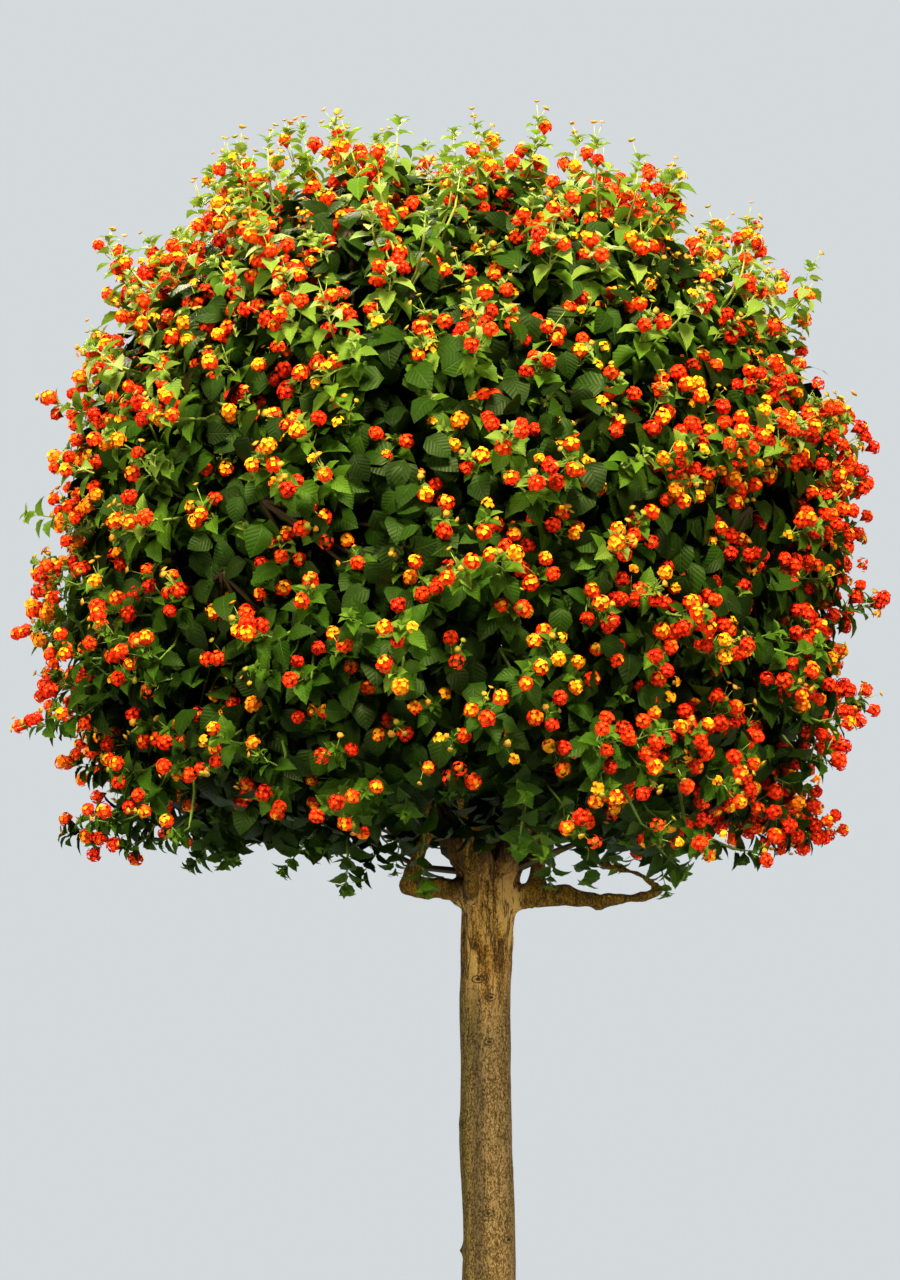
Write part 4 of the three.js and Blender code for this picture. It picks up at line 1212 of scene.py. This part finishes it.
def makeCrumbs():
    bpy.ops.mesh.primitive_ico_sphere_add(subdivisions=1, radius=1)
    addModifier(bpy.context.object, "DISPLACE", {
        "texture": cloudTexture("crumbShape", 0.9, 1), "strength": 0.7, "mid_level": 0.5})
    return keepShape(lambda p: 0.5 + p[:, :2] * 0.3)


soilLook = {
    "ramp": ((0.25, (0.018, 0.012, 0.008)), (0.5, (0.050, 0.033, 0.021)), (0.75, (0.105, 0.072, 0.046))),
    "grain": (0.170, 0.125, 0.085),
}


def soilFinish():
    m = Finish("crumblySoil")
    clods, grain = m.noise(45, 4, 0.65), m.noise(380, 4, 0.7)
    colour = m.mix(m.step(grain, 0.60, 0.72) * 0.5, m.ramp(clods, soilLook["ramp"]), soilLook["grain"])
    return m.show(m.surface(colour, 0.86 + grain * 0.1, m.bump(clods * 0.6 + grain * 0.6, 1.0, 0.003)))


soilBed = makeSoil()
crumbShape = makeCrumbs()
crumbBunch = Bunch()
for _ in range(soil["crumbs"]):
    far = math.sqrt(chance.uniform(0.06, 0.92)) * soil["crumbReach"]
    turn = chance.random() * 2 * math.pi
    lift = soil["top"] + soil["mound"] * max(0, 1 - far / soil["moundRadius"])
    centre = np.array([far * math.cos(turn), far * math.sin(turn), lift])
    axis = unit(chance.normal(size=3))
    wide = chance.uniform(*soil["crumbRadius"])
    crumbBunch.put(crumbShape, layRound(crumbShape, centre, axis, wide, wide * 0.8), 0.5, 0.5, 0)
crumbs = crumbBunch.build("soilCrumbs", [soilFinish()])
soilBed.data.materials.append(crumbs.data.materials[0])
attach(soilBed, "root")
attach(crumbs, "root")
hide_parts("soil")
print("soil:", soil["crumbs"], "crumbs")


# a plain pale floor and backdrop, and five warm lights: a strong soft one above and in front, one behind,
# one on each side, and a narrow weak one on the trunk
studio = {
    "floorRadius": 4.2, "floor": (0.265, 0.300, 0.405),
    "backdropRadius": 24.0, "backdrop": (0.66, 0.70, 0.72),
    "ambient": (0.82, 0.86, 0.80), "ambientStrength": 0.085, "warm": (1.0, 0.91, 0.66),
    # place, aim, size, power and spread in degrees
    "lights": (
        ((0.3, -3.5, 5.7), (0, 0, 2.0), 1.2, 870, 180),
        ((-1.4, 2.4, 5.6), (0, 0, 2.3), 1.8, 420, 180),
        ((-4.2, -3.4, 3.6), (0, 0, 2.1), 1.6, 320, 180),
        ((4.2, -3.4, 3.6), (0, 0, 2.1), 1.6, 200, 180),
        ((1.6, -3.5, 0.85), (0, 0, 0.66), 0.5, 5.2, 32),
    ),
}


def makeStudio():
    bpy.ops.mesh.primitive_circle_add(vertices=96, radius=studio["floorRadius"], fill_type="NGON")
    floor = bpy.context.object
    floor.name = "floor"
    m = Finish("paleFloor")
    colour = m.mix(m.noise(1.4, 3, 0.5), studio["floor"], tuple(c * 0.94 for c in studio["floor"]))
    floor.data.materials.append(m.show(m.add("BsdfPrincipled", {}, {"Base Color": colour, "Roughness": 0.9})))
    # only the camera sees the backdrop, so it adds no light to the underside of the crown
    bpy.ops.mesh.primitive_uv_sphere_add(segments=48, ring_count=24, radius=studio["backdropRadius"])
    backdrop = bpy.context.object
    backdrop.name = "backdrop"
    bpy.ops.object.shade_smooth()
    for kind in ("diffuse", "glossy", "transmission", "volume_scatter", "shadow"):
        setattr(backdrop, "visible_" + kind, False)
    m = Finish("paleBackdrop")
    backdrop.data.materials.append(m.show(m.add("Emission", {}, {"Color": (*studio["backdrop"], 1)})))
    world = bpy.data.worlds.new("studio")
    bpy.context.scene.world = world
    world.use_nodes = True
    air = world.node_tree.nodes["Background"]
    air.inputs[0].default_value = (*studio["ambient"], 1)
    air.inputs[1].default_value = studio["ambientStrength"]
    for place, aim, size, power, spread in studio["lights"]:
        bpy.ops.object.light_add(type="AREA", location=place)
        light = bpy.context.object
        way = light.location.copy()
        way.x, way.y, way.z = (a - b for a, b in zip(aim, place))
        light.rotation_euler = way.to_track_quat("-Z", "Y").to_euler()
        light.data.shape = "DISK"
        light.data.size = size
        light.data.energy = power
        light.data.spread = math.radians(spread)
        light.data.color = studio["warm"]
    bpy.context.scene.view_settings.view_transform = "Standard"


makeStudio()
print("studio: ready")

solids = set(nodes.values())
pieces = [o for o in bpy.context.scene.objects
          if o.type == "MESH" and o not in solids and o.name not in ("floor", "backdrop")]
triangles = sum(len(f.vertices) - 2 for o in pieces for f in o.data.polygons)
print("pieces:", len(pieces), "with", triangles, "triangles")
